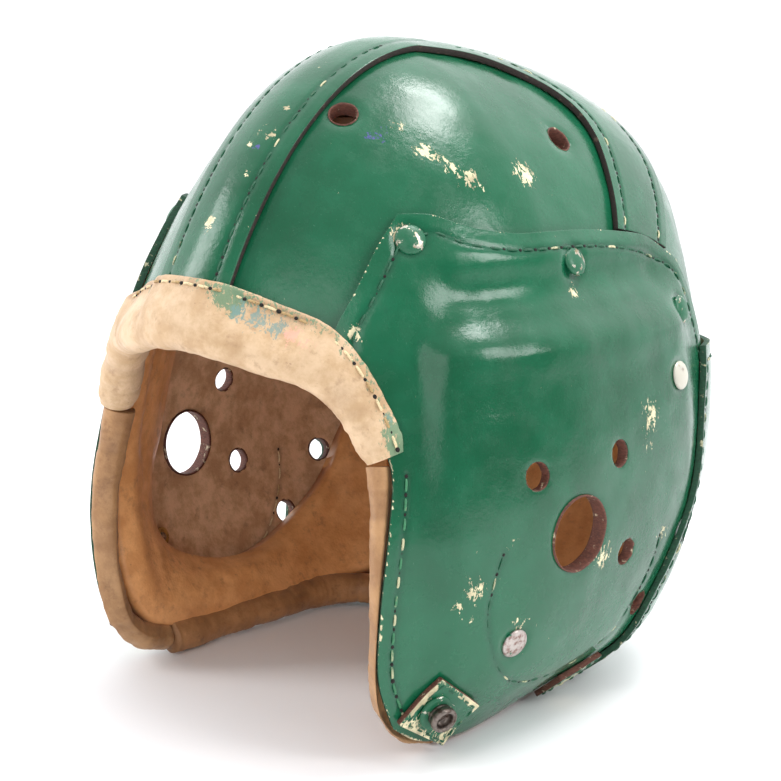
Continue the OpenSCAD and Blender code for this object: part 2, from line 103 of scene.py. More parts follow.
def cap(h, r, d, e):
    """Half width of a dome of radius r, h below its top and d deep."""
    return r*(1 - (1 - np.minimum(h/d, 1))**e)**(1/e)


def tuck(h, d, t, p):
    """How far the shell draws in, h below its top: nothing above d, t at the rim."""
    return t*np.maximum(0, (h - d)/(HELMET_H - d))**p


def reach(az, z):
    """Distance of the shell from the crown axis."""
    a = np.radians(az)
    h = HELMET_H - np.minimum(z, HELMET_H - 0.01)
    side = cap(h, HALF_W, SIDE_DROP, 1.85) - tuck(h, SIDE_DROP, 23, 1.75)
    front = cap(h, FRONT_R, FRONT_DROP, 1.95)
    back = cap(h, BACK_R, BACK_DROP, 1.75) - tuck(h, BACK_DROP, 67, 2.8)
    fore = np.cos(a) > 0
    n = np.where(fore, 1.65 + 0.85*(h/HELMET_H)**2, BACK_N)
    ends = np.where(fore, front, back)
    r = ((np.abs(np.sin(a))/side)**n + (np.abs(np.cos(a))/ends)**n)**(-1/n)
    fold = np.abs((az + 180) % 360 - 180)
    curl = RIM_CURL*np.maximum(0, 1 - z/CURL_Z)**2*(0.15 + 0.85*smooth(fold, 45, 100))
    return r - curl


def on_shell(az, z):
    """Point of the shell at a place."""
    az, z = np.broadcast_arrays(np.asarray(az, float), np.asarray(z, float))
    r, a = reach(az, z), np.radians(az)
    return np.stack([r*np.sin(a), AXIS_Y - r*np.cos(a), z], -1)


def unit(v):
    return v/np.maximum(np.linalg.norm(v, axis=-1, keepdims=True), 1e-9)


def normal(az, z):
    """Outward normal of the shell at a place."""
    az, z = np.asarray(az, float), np.asarray(z, float)
    down = on_shell(az, z - 0.5) - on_shell(az, np.minimum(z + 0.5, HELMET_H - 0.02))
    return unit(np.cross(down, on_shell(az + 0.5, z) - on_shell(az - 0.5, z)))


def lift(az, z, off):
    """Point at a distance off the shell."""
    return on_shell(az, z) + normal(az, z)*np.asarray(off, float)[..., None]


def place(points):
    """Azimuth and height of points near the shell."""
    return np.degrees(np.arctan2(points[..., 0], AXIS_Y - points[..., 1])), points[..., 2]


def dome(az, z):
    """Bulge over the ear."""
    return (2.9*smooth(az, 47, 55)*(1 - smooth(az, 120, 131))
            * (1 - smooth(z, 128, 141))*smooth(z, 8, 30))


def relief(az, z):
    """Moulded form of a side panel: ear dome, hollow above it and ridge under the seam.

    It is up to 2 mm deeper than the CAD's, so that it catches the light as in the photo."""
    az = np.abs((np.asarray(az, float) + 180) % 360 - 180)
    band = smooth(az, 48, 62)*(1 - smooth(az, 122, 134))
    return dome(az, z) + band*(1.0*bell(z, 158.5, 4.5) - 2.3*bell(z, 148, 6.5) + 1.7*bell(z, 131, 9))


# ---- curves and grids ----
def along(pts, t):
    """Point of a smooth curve through pts at t from 0 to 1."""
    p = np.asarray(pts, float)
    n = len(p) - 1
    s = np.clip(np.asarray(t, float)*n, 0, n - 1e-6)
    i = s.astype(int)
    t = (s - i)[..., None]
    a, b, c, d = p[np.maximum(i - 1, 0)], p[i], p[i + 1], p[np.minimum(i + 2, n)]
    return 0.5*(2*b + (c - a)*t + (2*a - 5*b + 4*c - d)*t*t + (3*b - a - 3*c + d)*t**3)


def at_azimuth(pts, az):
    """Value of an [azimuth, value] curve."""
    fine = along(pts, np.linspace(0, 1, 600))
    return np.interp(az, fine[:, 0], fine[:, 1])


def patch(edges, u, v):
    """Place inside four edges: left and right run down, top and bottom run rearward."""
    left, top, right, bottom = edges
    corner = [np.asarray(p, float) for p in (left[0], right[0], left[-1], right[-1])]
    u1, v1 = u[..., None], v[..., None]
    return ((1 - v1)*along(top, u) + v1*along(bottom, u) + (1 - u1)*along(left, v)
            + u1*along(right, v) - (1 - u1)*(1 - v1)*corner[0] - u1*(1 - v1)*corner[1]
            - (1 - u1)*v1*corner[2] - u1*v1*corner[3])


def uv(nu, nv):
    return np.meshgrid(np.linspace(0, 1, nu + 1), np.linspace(0, 1, nv + 1), indexing="ij")


def run_along(points):
    """Distance along a polyline at each of its points."""
    return np.r_[0, np.cumsum(np.linalg.norm(np.diff(points, axis=0), axis=1))]


def resample(points, step):
    """Points spaced evenly along a polyline."""
    d = run_along(points)
    s = np.linspace(0, d[-1], max(int(round(d[-1]/step)), 1) + 1)
    return np.stack([np.interp(s, d, points[:, k]) for k in range(points.shape[1])], -1)


def inset(pts, distance, n=400):
    """Curve on the shell a distance to the left of one, seen from outside, going along it."""
    q = along(pts, np.linspace(0, 1, n))
    p = on_shell(q[:, 0], q[:, 1])
    side = unit(np.cross(normal(q[:, 0], q[:, 1]), np.gradient(p, axis=0)))
    return np.stack(place(p + side*distance), -1)


def fbm(points, scale, seed=0.0, octaves=3):
    """Smooth noise from -1 to 1 at points in millimetres; scale is the size of its lumps."""
    shift = Vector((seed*17.3, seed*-9.1, seed*5.7))
    flat = points.reshape(-1, 3)/scale
    value = [noise.fractal(Vector(p) + shift, 0.8, 2.1, octaves) for p in flat]
    return np.array(value).reshape(points.shape[:-1])


def distance_to(points, line):
    """Distance of each point from the nearest point of a densely sampled line."""
    flat = points.reshape(-1, 3)
    best = np.full(len(flat), 1e9)
    for k in range(0, len(line), 64):
        d = np.linalg.norm(flat[:, None] - line[None, k:k + 64], axis=2).min(1)
        best = np.minimum(best, d)
    return best.reshape(points.shape[:-1])


# ---- meshes ----
def finish_mesh(obj):
    """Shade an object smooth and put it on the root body."""
    obj.data.validate()
    obj.data.shade_smooth()
    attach(obj, "root")
    return obj


def make_object(name, verts, faces, materials, face_material=None, values=None):
    """Mesh object from millimetre points, with named per-vertex values for its materials."""
    mesh = bpy.data.meshes.new(name)
    mesh.from_pydata((np.asarray(verts)*MM).tolist(), [], [list(map(int, f)) for f in faces])
    for m in materials:
        mesh.materials.append(m)
    if face_material is not None:
        mesh.polygons.foreach_set("material_index", np.asarray(face_material, np.int32))
    for key, data in (values or {}).items():
        layer = mesh.attributes.new(key, "FLOAT", "POINT")
        layer.data.foreach_set("value", np.asarray(data, np.float32).ravel())
    mesh.update()
    obj = bpy.data.objects.new(name, mesh)
    bpy.context.collection.objects.link(obj)
    return obj


def grid_quads(nu, nv, start=0):
    """Quads of a grid of nu by nv points, the first of them numbered start."""
    i, j = np.meshgrid(np.arange(nu - 1), np.arange(nv - 1), indexing="ij")
    a = (i*nv + j).ravel() + start
    return np.stack([a, a + 1, a + nv + 1, a + nv], -1)


def sheet(name, outer, inner, materials, holes=(), values=None, bevel=0.55):
    """Closed leather sheet between two grids, with round holes punched through it.

    materials are for the outer face, the cut edges and the inner face. A hole is a centre, an
    axis and a radius."""
    o, k = outer.reshape(-1, 3).copy(), inner.reshape(-1, 3).copy()
    quads = grid_quads(*outer.shape[:2])
    keep = np.ones(len(quads), bool)
    for centre, axis, radius in holes:
        rel = o[quads].mean(1) - centre
        far = rel @ axis
        flat = np.linalg.norm(rel - far[:, None]*axis, axis=1)
        gone = (flat < radius) & (np.abs(far) < HOLE_REACH) & keep
        rim = np.intersect1d(quads[gone].ravel(), quads[keep & ~gone].ravel())
        for grid in (o, k):
            rel = grid[rim] - centre
            far = (rel @ axis)[:, None]*axis
            grid[rim] = centre + far + unit(rel - far)*radius
        keep &= ~gone
    flat = {key: np.ravel(d) for key, d in (values or {}).items()}
    return close_sheet(name, o, k, quads[keep], materials, flat, bevel)


def close_sheet(name, o, k, quads, materials, values, bevel):
    """Sheet between two faces that share their quads, walled along its open edges."""
    edges = np.concatenate([quads[:, [0, 1]], quads[:, [1, 2]], quads[:, [2, 3]], quads[:, [3, 0]]])
    code = edges[:, 0].astype(np.int64)*len(o) + edges[:, 1]
    back = edges[:, 1].astype(np.int64)*len(o) + edges[:, 0]
    border = edges[~np.isin(code, back)]
    m = len(o)
    wall = np.stack([border[:, 1], border[:, 0], border[:, 0] + m, border[:, 1] + m], -1)
    faces = np.concatenate([quads, quads[:, ::-1] + m, wall])
    kind = np.r_[np.zeros(len(quads)), np.full(len(quads), 2), np.ones(len(wall))]
    used = np.unique(faces)
    renumber = np.zeros(2*m, np.int64)
    renumber[used] = np.arange(len(used))
    both = {key: np.r_[d, d][used] for key, d in values.items()}
    obj = make_object(name, np.concatenate([o, k])[used], renumber[faces], materials, kind, both)
    if bevel:
        mod = obj.modifiers.new("edge", "BEVEL")
        mod.width, mod.segments, mod.limit_method = bevel*MM, 2, "ANGLE"
        mod.angle_limit = math.radians(50)
    return obj


def welded_sheet(name, grids, materials, values, bevel):
    """Closed sheet from several pairs of grids that share edge points."""
    quads, start = [], 0
    for outer, _ in grids:
        nu, nv = outer.shape[:2]
        quads.append(grid_quads(nu, nv, start))
        start += nu*nv
    quads = np.concatenate(quads)
    o, k = (np.concatenate([g[face].reshape(-1, 3) for g in grids]) for face in (0, 1))
    _, first, same = np.unique(np.round(k, 2), axis=0, return_index=True, return_inverse=True)
    data = {key: d[first] for key, d in values.items()}
    return close_sheet(name, o[first], k[first], same.ravel()[quads], materials, data, bevel)


def ring_faces(n, m, capped=True):
    """Faces of a bar through n rings of m points."""
    i, j = (g.ravel() for g in np.meshgrid(np.arange(n - 1), np.arange(m), indexing="ij"))
    nxt = (j + 1) % m
    faces = np.stack([i*m + j, i*m + nxt, (i + 1)*m + nxt, (i + 1)*m + j], -1).tolist()
    if capped:
        faces.append(list(range(m - 1, -1, -1)))
        faces.append([(n - 1)*m + q for q in range(m)])
    return faces


def tube(name, rings, materials, values=None):
    """Closed bar through rings of points."""
    faces = ring_faces(*rings.shape[:2])
    return make_object(name, rings.reshape(-1, 3), faces, materials, None, values)


def turned(profile, turns):
    """Rings about Z through (radius, height) points."""
    prof = np.asarray(profile, float)
    a = np.linspace(0, 2*math.pi, turns, endpoint=False)
    return np.stack([np.outer(prof[:, 0], np.cos(a)), np.outer(prof[:, 0], np.sin(a)),
                     np.repeat(prof[:, 1:2], turns, 1)], -1)


def frame_at(az, z, off=0.0):
    """Matrix that stands a piece on the shell, Z along the outward normal, in millimetres."""
    n = normal(az, z)
    s = unit(np.array([math.cos(math.radians(az)), math.sin(math.radians(az)), 0.0]))
    side = unit(s - n*(s @ n))
    m = np.eye(4)
    m[:3, 0], m[:3, 1], m[:3, 2] = side, np.cross(n, side), n
    m[:3, 3] = lift(az, z, off)
    return m


def lathe(name, profile, matrix, materials, turns=48, mirror=False):
    """Turned piece from (radius, height) points, the first and last on its axis."""
    rings = turned(profile, turns) @ matrix[:3, :3].T + matrix[:3, 3]
    if mirror:
        rings = (rings*MIRROR)[:, ::-1]
    return tube(name, rings, materials)


def join(name, objs):
    """One object from several."""
    bpy.ops.object.select_all(action="DESELECT")
    for o in objs:
        o.select_set(True)
    bpy.context.view_layer.objects.active = objs[0]
    bpy.ops.object.join()
    objs[0].name = name
    objs[0].data.name = name
    return objs[0]


def mirrored(obj, name):
    """Mirror image of a left piece, for the right side."""
    twin = obj.copy()
    twin.data = obj.data.copy()
    twin.name = name
    twin.data.name = name
    bpy.context.collection.objects.link(twin)
    twin.data.transform(Matrix.Scale(-1, 4, (1, 0, 0)))
    twin.data.flip_normals()
    return twin


def two_sided(make, name, slot, *nodes):
    """A left piece and its mirror image, standing for the CAD nodes of both sides."""
    left = make(name + "_left")
    right = mirrored(left, name + "_right")
    for obj, side in ((left, "left"), (right, "right")):
        finish_mesh(obj)
        for node in nodes:
            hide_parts(node + "_" + side)
    return left, right


# ---- materials ----
class Tree:
    """Short calls that add shader nodes to one material."""

    def __init__(self, name):
        self.material = bpy.data.materials.new(name)
        self.material.use_nodes = True
        self.nodes = self.material.node_tree.nodes
        self.links = self.material.node_tree.links
        self.nodes.clear()
        self.out = self.nodes.new("ShaderNodeOutputMaterial")
        self.shader = self.nodes.new("ShaderNodeBsdfPrincipled")
        self.links.new(self.shader.outputs[0], self.out.inputs[0])
        self.place = self.nodes.new("ShaderNodeTexCoord").outputs["Object"]

    def put(self, socket, value):
        if hasattr(value, "is_output"):
            self.links.new(value, socket)
        elif isinstance(value, tuple) and len(value) == 3 and len(socket.default_value) == 4:
            socket.default_value = (*value, 1)
        else:
            socket.default_value = value

    def node(self, kind, out=0, props=None, **inputs):
        n = self.nodes.new("ShaderNode" + kind)
        for key, value in (props or {}).items():
            setattr(n, key, value)
        for key, value in inputs.items():
            self.put(n.inputs[int(key[1:])] if key[0] == "i" and key[1:].isdigit()
                     else n.inputs[key.replace("_", " ")], value)
        return n.outputs[out]

    def math(self, op, a, b=0.0):
        return self.node("Math", props={"operation": op}, i0=a, i1=b)

    def add(self, a, b):
        return self.math("ADD", a, b)

    def times(self, a, b):
        return self.math("MULTIPLY", a, b)

    def about(self, value, gain=1.0):
        """value less a half, so that noise swings either side of nought, times gain."""
        return self.times(self.math("SUBTRACT", value, 0.5), gain)

    def noise(self, scale, detail=3.0, rough=0.5, warp=0.0, stretch=None, seed=(0, 0, 0)):
        """Noise with lumps of the given size in millimetres."""
        at = self.place
        if stretch or any(seed):
            at = self.node("Mapping", Vector=at, Location=seed, Scale=stretch or (1, 1, 1))
        return self.node("TexNoise", Vector=at, Scale=1000.0/scale, Detail=detail,
                         Roughness=rough, Distortion=warp)

    def band(self, value, low, high, start=0.0, end=1.0):
        """value from low to high, mapped smoothly to start to end."""
        return self.node("MapRange", props={"interpolation_type": "SMOOTHSTEP"}, Value=value,
                         i1=low, i2=high, i3=start, i4=end)

    def mix(self, factor, a, b):
        return self.node("Mix", out=2, props={"data_type": "RGBA"}, i0=factor, i6=a, i7=b)

    def attribute(self, name):
        return self.node("Attribute", out=2, props={"attribute_name": name})

    def bump(self, height, distance, strength=1.0, under=None):
        extra = {"Normal": under} if under is not None else {}
        return self.node("Bump", Height=height, Distance=distance*MM, Strength=strength, **extra)

    def set(self, **inputs):
        for key, value in inputs.items():
            self.put(self.shader.inputs[key.replace("_", " ")], value)
        return self.material


CREAM, CREAM_DIRTY, INK = (0.80, 0.72, 0.46), (0.42, 0.36, 0.22), (0.07, 0.07, 0.26)
GREEN_DARK, GREEN, GREEN_LIGHT = (0.003, 0.072, 0.030), (0.005, 0.105, 0.046), (0.014, 0.145, 0.072)
# The last of these greens is painted shade for stitch channels and dents.
GREEN_GRIME, GREEN_SCRATCH, GREEN_PAINTED_SHADE = (0.004, 0.05, 0.03), (0.12, 0.30, 0.20), (0.004, 0.035, 0.02)


def paint_material(name, wear=0.5):
    """Glossy green enamel over cream undercoat, scuffed, with chips where the mesh asks and painted
    shade where it marks stitch channels and dents.
    """
    t = Tree(name)
    tone = t.band(t.noise(70, 2), 0.3, 0.7)
    cloud = t.band(t.noise(14, 4, seed=(3, 1, 7)), 0.35, 0.75)
    base = t.mix(tone, GREEN_DARK, GREEN)
    base = t.mix(t.times(cloud, 0.35), base, GREEN_LIGHT)
    grime = t.band(t.noise(5, 5, 0.65, seed=(1, 5, 2)), 0.58, 0.78, 0, 0.35)
    base = t.mix(grime, base, GREEN_GRIME)
    hair = t.noise(2.2, 2, 0.5, stretch=(1, 9, 2), seed=(2, 2, 9))
    base = t.mix(t.band(hair, 0.70, 0.76, 0, 0.35), base, GREEN_SCRATCH)
    ragged = t.noise(2.6, 5, 0.7, 0.4, stretch=(1, 1.8, 0.8), seed=(4, 8, 1))
    fine = t.noise(1.1, 3, 0.6, seed=(7, 1, 1))
    jag = t.add(t.times(ragged, 0.75), t.times(fine, 0.25))
    torn = t.about(jag, 3.2)
    chip = t.band(t.add(t.attribute("chip"), torn), 0.58, 0.63)
    edge = t.times(t.attribute("edge"), wear)
    patchy = t.about(t.noise(17, 3, 0.6, seed=(6, 6, 3)), 1.6)
    rub = t.add(t.add(edge, patchy), t.about(jag))
    rub = t.times(t.band(rub, 0.60, 0.68), t.band(edge, 0.08, 0.2))
    bare = t.math("MAXIMUM", chip, rub)
    under = t.mix(t.band(t.noise(6, 3, seed=(9, 9, 2)), 0.4, 0.7), CREAM, CREAM_DIRTY)
    colour = t.mix(bare, base, under)
    ink = t.band(t.add(t.attribute("ink"), torn), 0.66, 0.84)
    colour = t.mix(ink, colour, INK)
    # Painted shade: darker green where the mesh marks pressed stitch rows and dents.
    colour = t.mix(t.times(t.attribute("groove"), 0.45), colour, GREEN_PAINTED_SHADE)
    rough = t.band(t.noise(9, 4, 0.6, seed=(5, 5, 5)), 0.3, 0.75, 0.16, 0.34)
    rough = t.add(rough, t.times(bare, 0.35))
    peel = t.bump(t.noise(2.6, 2, seed=(1, 2, 3)), 0.10, 0.5)
    pebble = t.bump(t.node("TexVoronoi", Vector=t.place, Scale=620.0), 0.05, 0.4, peel)
    grain = t.bump(t.noise(0.55, 3, 0.6), 0.05, 0.6, pebble)
    scratch = t.bump(hair, 0.05, 0.25, grain)
    step = t.bump(t.math("SUBTRACT", 1.0, bare), 0.12, 0.7, scratch)
    return t.set(Base_Color=colour, Roughness=rough, Normal=step, Coat_Weight=0.26,
                 Coat_Roughness=0.12, Coat_Normal=grain, Specular_IOR_Level=0.32)


def leather_material(name, light, mid, dark, gloss=0.55, stain=None, grain=0.9):
    """Unpainted leather: mottled and grained, with painted shade where the mesh marks creases, hollows
    and pressed stitch rows.
    """
    t = Tree(name)
    mottle = t.band(t.noise(11, 6, 0.68), 0.36, 0.64)
    colour = t.mix(mottle, mid, light)
    blot = t.band(t.noise(5.5, 6, 0.7, seed=(3, 3, 1)), 0.52, 0.74, 0, 0.55)
    colour = t.mix(blot, colour, dark)
    # Painted shade: the dark tone where the mesh marks creases, hollows and stitch rows.
    colour = t.mix(t.times(t.attribute("groove"), 0.75), colour, dark)
    speck = t.band(t.noise(1.6, 3, 0.6, seed=(8, 2, 2)), 0.68, 0.76, 0, 0.5)
    colour = t.mix(speck, colour, dark)
    if stain:
        smear = t.noise(2.2, 5, 0.72, 0.4, stretch=(2.2, 2.2, 0.7), seed=(1, 7, 3))
        for key, tint, cut in stain:
            mask = t.add(t.attribute(key), t.about(smear, 2.6))
            colour = t.mix(t.band(mask, cut, cut + 0.2, 0, 0.8), colour, tint)
    pores = t.node("TexVoronoi", Vector=t.place, Scale=1000.0/grain)
    fine = t.bump(pores, 0.10, 0.5)
    soft = t.bump(t.noise(3.2, 5, 0.66, seed=(2, 6, 4)), 0.34, 0.55, fine)
    rough = t.band(t.noise(7, 3, seed=(6, 1, 8)), 0.3, 0.7, gloss - 0.08, gloss + 0.12)
    return t.set(Base_Color=colour, Roughness=rough, Normal=soft, Specular_IOR_Level=0.4,
                 Sheen_Weight=0.08, Sheen_Roughness=0.5)


def edge_material(name, tint, pale):
    """Cut edge of thick leather: layered, dark, with pale crumbs."""
    t = Tree(name)
    layers = t.noise(1.2, 4, 0.65, stretch=(1, 1, 3))
    colour = t.mix(t.band(layers, 0.35, 0.65), tint, tuple(c*0.45 for c in tint))
    crumbs = t.band(t.noise(3.0, 4, 0.7, seed=(5, 2, 6)), 0.60, 0.68)
    colour = t.mix(crumbs, colour, pale)
    return t.set(Base_Color=colour, Roughness=0.75, Normal=t.bump(layers, 0.2, 0.7))


def metal_material(name, tint, rust, gloss=0.35, paint=None, cover=0.5):
    """Worn metal, with spots of rust and what is left of its enamel."""
    t = Tree(name)
    dull = t.noise(1.8, 4, 0.6)
    colour = t.mix(t.band(dull, 0.42, 0.7), tint, rust)
    metal = 1.0
    if paint:
        left = t.add(t.noise(3.6, 4, 0.6, seed=(2, 9, 4)), t.times(t.noise(0.9, 2), 0.15))
        left = t.band(left, cover, cover + 0.04)
        colour = t.mix(left, colour, paint)
        metal = t.math("SUBTRACT", 1.0, left)
    rough = t.band(dull, 0.3, 0.7, gloss, gloss + 0.25)
    return t.set(Base_Color=colour, Metallic=metal, Roughness=rough,
                 Normal=t.bump(t.noise(0.7, 3), 0.06, 0.6))


def thread_material(name, clean, painted, dirty, fresh):
    """Waxed thread, painted over in places: each stitch has its own share of wear."""
    t = Tree(name)
    worn = t.add(t.attribute("worn"), t.times(t.noise(1.5, 3), 0.4))
    colour = t.mix(t.band(worn, fresh, fresh + 0.15), painted, clean)
    colour = t.mix(t.band(t.noise(0.8, 2, seed=(1, 1, 4)), 0.5, 0.75, 0, 0.6), colour, dirty)
    twist = t.node("TexWave", props={"wave_type": "BANDS", "bands_direction": "DIAGONAL"},
                   Vector=t.place, Scale=700.0, Distortion=1.0)
    return t.set(Base_Color=colour, Roughness=0.6, Normal=t.bump(twist, 0.06, 0.6))


def plain_material(name, colour, rough):
    """One colour, slightly uneven."""
    t = Tree(name)
    shade = t.mix(t.band(t.noise(1.5, 3), 0.3, 0.7), colour, tuple(c*0.5 for c in colour))
    return t.set(Base_Color=shade, Roughness=rough)


def cloth_material(name, warp_tint, weft_tint, stripe=None):
    """Woven webbing or felt, with threads about a millimetre apart."""
    t = Tree(name)
    waves = [t.node("TexWave", props={"wave_type": "BANDS", "bands_direction": d}, Vector=t.place,
                    Scale=160.0, Distortion=0.6) for d in ("X", "Y")]
    weave = t.times(*waves)
    colour = t.mix(t.band(weave, 0.1, 0.6), weft_tint, warp_tint)
    if stripe:
        band = t.band(t.attribute("across"), 0.50, 0.56)
        colour = t.mix(band, colour, stripe)
    colour = t.mix(t.band(t.noise(6, 4), 0.45, 0.8, 0, 0.5), colour,
                   tuple(c*0.5 for c in weft_tint))
    return t.set(Base_Color=colour, Roughness=0.9, Normal=t.bump(weave, 0.25, 0.8),
                 Sheen_Weight=0.2)


paint = paint_material("green_enamel")
paint_worn = paint_material("green_enamel_worn", wear=0.62)
cut_dark = edge_material("cut_edge_dark", (0.035, 0.022, 0.018), (0.11, 0.07, 0.05))
cut_red = edge_material("cut_edge_red", (0.16, 0.055, 0.035), (0.55, 0.47, 0.32))
cut_pale = edge_material("cut_edge_pale", (0.012, 0.075, 0.036), (0.50, 0.46, 0.30))
flesh = leather_material("flesh_side", (0.56, 0.36, 0.22), (0.46, 0.28, 0.17), (0.20, 0.11, 0.06), 0.62)
roll_tan = leather_material(
    "tan_roll", (0.64, 0.46, 0.29), (0.50, 0.33, 0.18), (0.27, 0.145, 0.07), 0.55,
    stain=[("green_rub", (0.06, 0.20, 0.11), 0.56), ("blue_rub", (0.16, 0.27, 0.25), 0.56),
           ("pink_rub", (0.72, 0.36, 0.27), 0.54)])
roll_flap = leather_material(
    "flap_roll", (0.44, 0.245, 0.11), (0.32, 0.165, 0.07), (0.16, 0.07, 0.03), 0.5,
    stain=[("green_rub", (0.02, 0.16, 0.08), 0.52)])
roll_brown = leather_material("brown_roll", (0.44, 0.22, 0.09), (0.31, 0.145, 0.055),
                              (0.13, 0.06, 0.03), 0.5,
                              stain=[("green_rub", (0.02, 0.16, 0.08), 0.52)])
pad_leather = leather_material("pad_leather", (0.80, 0.40, 0.16), (0.64, 0.29, 0.10),
                               (0.28, 0.12, 0.05), 0.48, grain=1.1)
lining_leather = leather_material("lining_leather", (0.76, 0.49, 0.30), (0.50, 0.285, 0.155),
                                  (0.22, 0.12, 0.07), 0.66)
thread_green = thread_material("thread_green", (0.62, 0.58, 0.36), (0.006, 0.085, 0.038),
                               (0.010, 0.022, 0.014), 0.98)
thread_pale = thread_material("thread_pale", (0.50, 0.49, 0.30), (0.04, 0.20, 0.09),
                              (0.03, 0.09, 0.05), 0.86)
thread_tan = thread_material("thread_tan", (0.72, 0.58, 0.34), (0.42, 0.28, 0.12),
                             (0.10, 0.05, 0.03), 0.5)
# Near-black colour: painted shade inside the needle holes.
hole_shade = plain_material("needle_hole_shade", (0.012, 0.010, 0.008), 0.9)
rivet_green = metal_material("rivet_green", (0.55, 0.52, 0.44), (0.30, 0.22, 0.12), 0.3,
                             (0.005, 0.105, 0.046), 0.47)
rivet_cream = metal_material("rivet_cream", (0.60, 0.58, 0.52), (0.35, 0.28, 0.20), 0.3,
                             (0.52, 0.50, 0.42), 0.47)
rivet_bare = metal_material("rivet_bare", (0.52, 0.47, 0.44), (0.25, 0.13, 0.11), 0.38,
                            (0.012, 0.12, 0.06), 0.66)
snap_metal = metal_material("snap_steel", (0.20, 0.17, 0.15), (0.06, 0.035, 0.025), 0.3)
brass = metal_material("burr_brass", (0.55, 0.40, 0.18), (0.25, 0.17, 0.08), 0.4)
web_cloth = cloth_material("sling_web", (0.50, 0.40, 0.28), (0.30, 0.20, 0.13), (0.32, 0.09, 0.05))
felt_cloth = cloth_material("crown_felt", (0.42, 0.32, 0.22), (0.34, 0.25, 0.17))
ring_leather = leather_material("ring_leather", (0.30, 0.16, 0.08), (0.22, 0.11, 0.06),
                                (0.08, 0.04, 0.02), 0.5)

# ---- stitching ----
rng = np.random.default_rng(7)


def stitch_row(name, path, offset, thread, **look):
    """Stitches along shell places, lifted off the shell by a function of the place."""
    fine = resample(np.asarray(path, float)*PATH_ASPECT, 0.5)/PATH_ASPECT
    az, z = fine[:, 0], fine[:, 1]
    stitches_on(name, lift(az, z, offset(az, z)), normal(az, z), thread, **look)


def thread_rings(frame_on, start, end, radius, rise, sideways):
    """Rings of one stitch, its ends sunk in the leather."""
    f = np.linspace(0, 1, 9)
    p, n, _, side = frame_on(start + (end - start)*f, 0.4)
    drop = np.abs(2*f - 1)**3
    high = rise - (rise + radius*1.3)*drop
    thick = (radius*(1 - 0.25*drop))[:, None]
    w = -2*math.pi*np.arange(8)/8
    up = high[:, None] + 0.75*thick*np.sin(w)
    across = thick*np.cos(w) + sideways
    return p[:, None] + n[:, None]*up[..., None] + side[:, None]*across[..., None]


def needle_rings(frame_on, s, end, size):
    """Rings of a dark disc in the dimple where the needle went through, painted shade for the hole."""
    p, n, _, _ = frame_on(min(max(s, 0.3), end - 0.3), 0.5)
    tang = frame_on(s, 0.5)[2]
    side = np.cross(n, tang)
    w = 2*math.pi*np.arange(10)[:, None]/10
    oval = tang*np.cos(w)*size*1.15 + side*np.sin(w)*size
    return np.stack([p + oval*r + n*h for r, h in ((1.0, -0.25), (0.8, 0.05), (0.0, 0.08))])


def stitches_on(name, pts, nrm, thread, pitch=6.2, radius=0.42, gap=1.5, rise=0.34,
                mirror_too=False):
    """Stitches along points with normals, and dark discs between them that paint the shade of the
    needle holes.
    """
    both = resample(np.concatenate([pts, nrm*20], 1), 0.4)
    pts, nrm = both[:, :3], unit(both[:, 3:])
    run = run_along(pts)
    count = max(int(round(run[-1]/pitch)), 1)
    step = run[-1]/count

    def at(s, rows):
        return np.stack([np.interp(s, run, rows[:, c]) for c in range(3)], -1)

    def frame_on(s, reach_on):
        n = unit(at(s, nrm))
        tang = unit(at(s + reach_on, pts) - at(s - reach_on, pts))
        return at(s, pts), n, tang, np.cross(n, tang)

    verts, faces, worn, kind = [], [], [], []

    def put(rings, capped, wear, material):
        start = sum(map(len, verts))
        new = ring_faces(*rings.shape[:2], capped)
        verts.append(rings.reshape(-1, 3))
        faces.extend([[start + i for i in f] for f in new])
        worn.extend([wear]*len(verts[-1]))
        kind.extend([material]*len(new))

    for q in range(count):
        jitter = rng.normal(0, 0.12, 2)
        start, end = q*step + gap/2 + jitter[0]*0.5, (q + 1)*step - gap/2 + jitter[1]*0.5
        wear = rng.random()
        put(thread_rings(frame_on, start, end, radius, rise, 0.25*jitter[0]), True, wear, 0)
    for q in range(count + 1):
        size = 0.62*rng.uniform(0.85, 1.2)
        put(needle_rings(frame_on, q*step, run[-1], size), False, 0, 1)
    obj = make_object(name, np.concatenate(verts), faces, [thread, hole_shade], kind, {"worn": worn})
    finish_mesh(obj)
    if mirror_too:
        finish_mesh(mirrored(obj, name.replace("left", "right")))


def press_rows(outer, normals, rows, depth, height):
    """Press stitch rows into a grid; height gives the face above each place. Also their mark, which the
    materials use as painted shade.
    """
    mark = np.zeros(outer.shape[:-1])
    for row in rows:
        line = resample(lift(row[:, 0], row[:, 1], height(row[:, 0], row[:, 1])), 1.0)
        d = distance_to(outer, line)
        outer = outer - normals*(depth*np.exp(-(d/ROW_WIDTH)**2))[..., None]
        mark = np.maximum(mark, np.exp(-(d/(ROW_WIDTH*1.2))**2))
    return outer, mark


# ---- spots of wear ----
CHIPS_LEFT = [(92, 184, 4.4), (91, 187, 2.6), (56, 192, 3.4), (60, 190, 2.6), (64, 187, 3.0),
              (69, 184, 3.4), (72, 181, 2.0), (53, 193, 2.0), (47, 200, 2.2), (65, 73, 2.0),
              (57, 60, 3.0), (55, 56, 2.6), (58, 63, 2.0), (56, 51, 1.8), (107, 103, 3.4),
              (106, 98, 2.6), (105, 93, 2.2), (90, 61, 3.2), (91, 66, 2.2), (88, 57, 1.8),
              (68, 46, 2.4), (72, 43, 1.6), (77, 36, 1.5), (104, 31, 2.0), (110, 42, 2.0),
              (113, 60, 2.4), (46, 167, 2.0), (36, 138, 1.8), (80, 118, 1.2), (100, 176, 1.6)]
INK_LEFT = [(39, 197, 3.2), (42, 199, 2.2), (33, 201, 1.4), (29, 187, 1.6)]


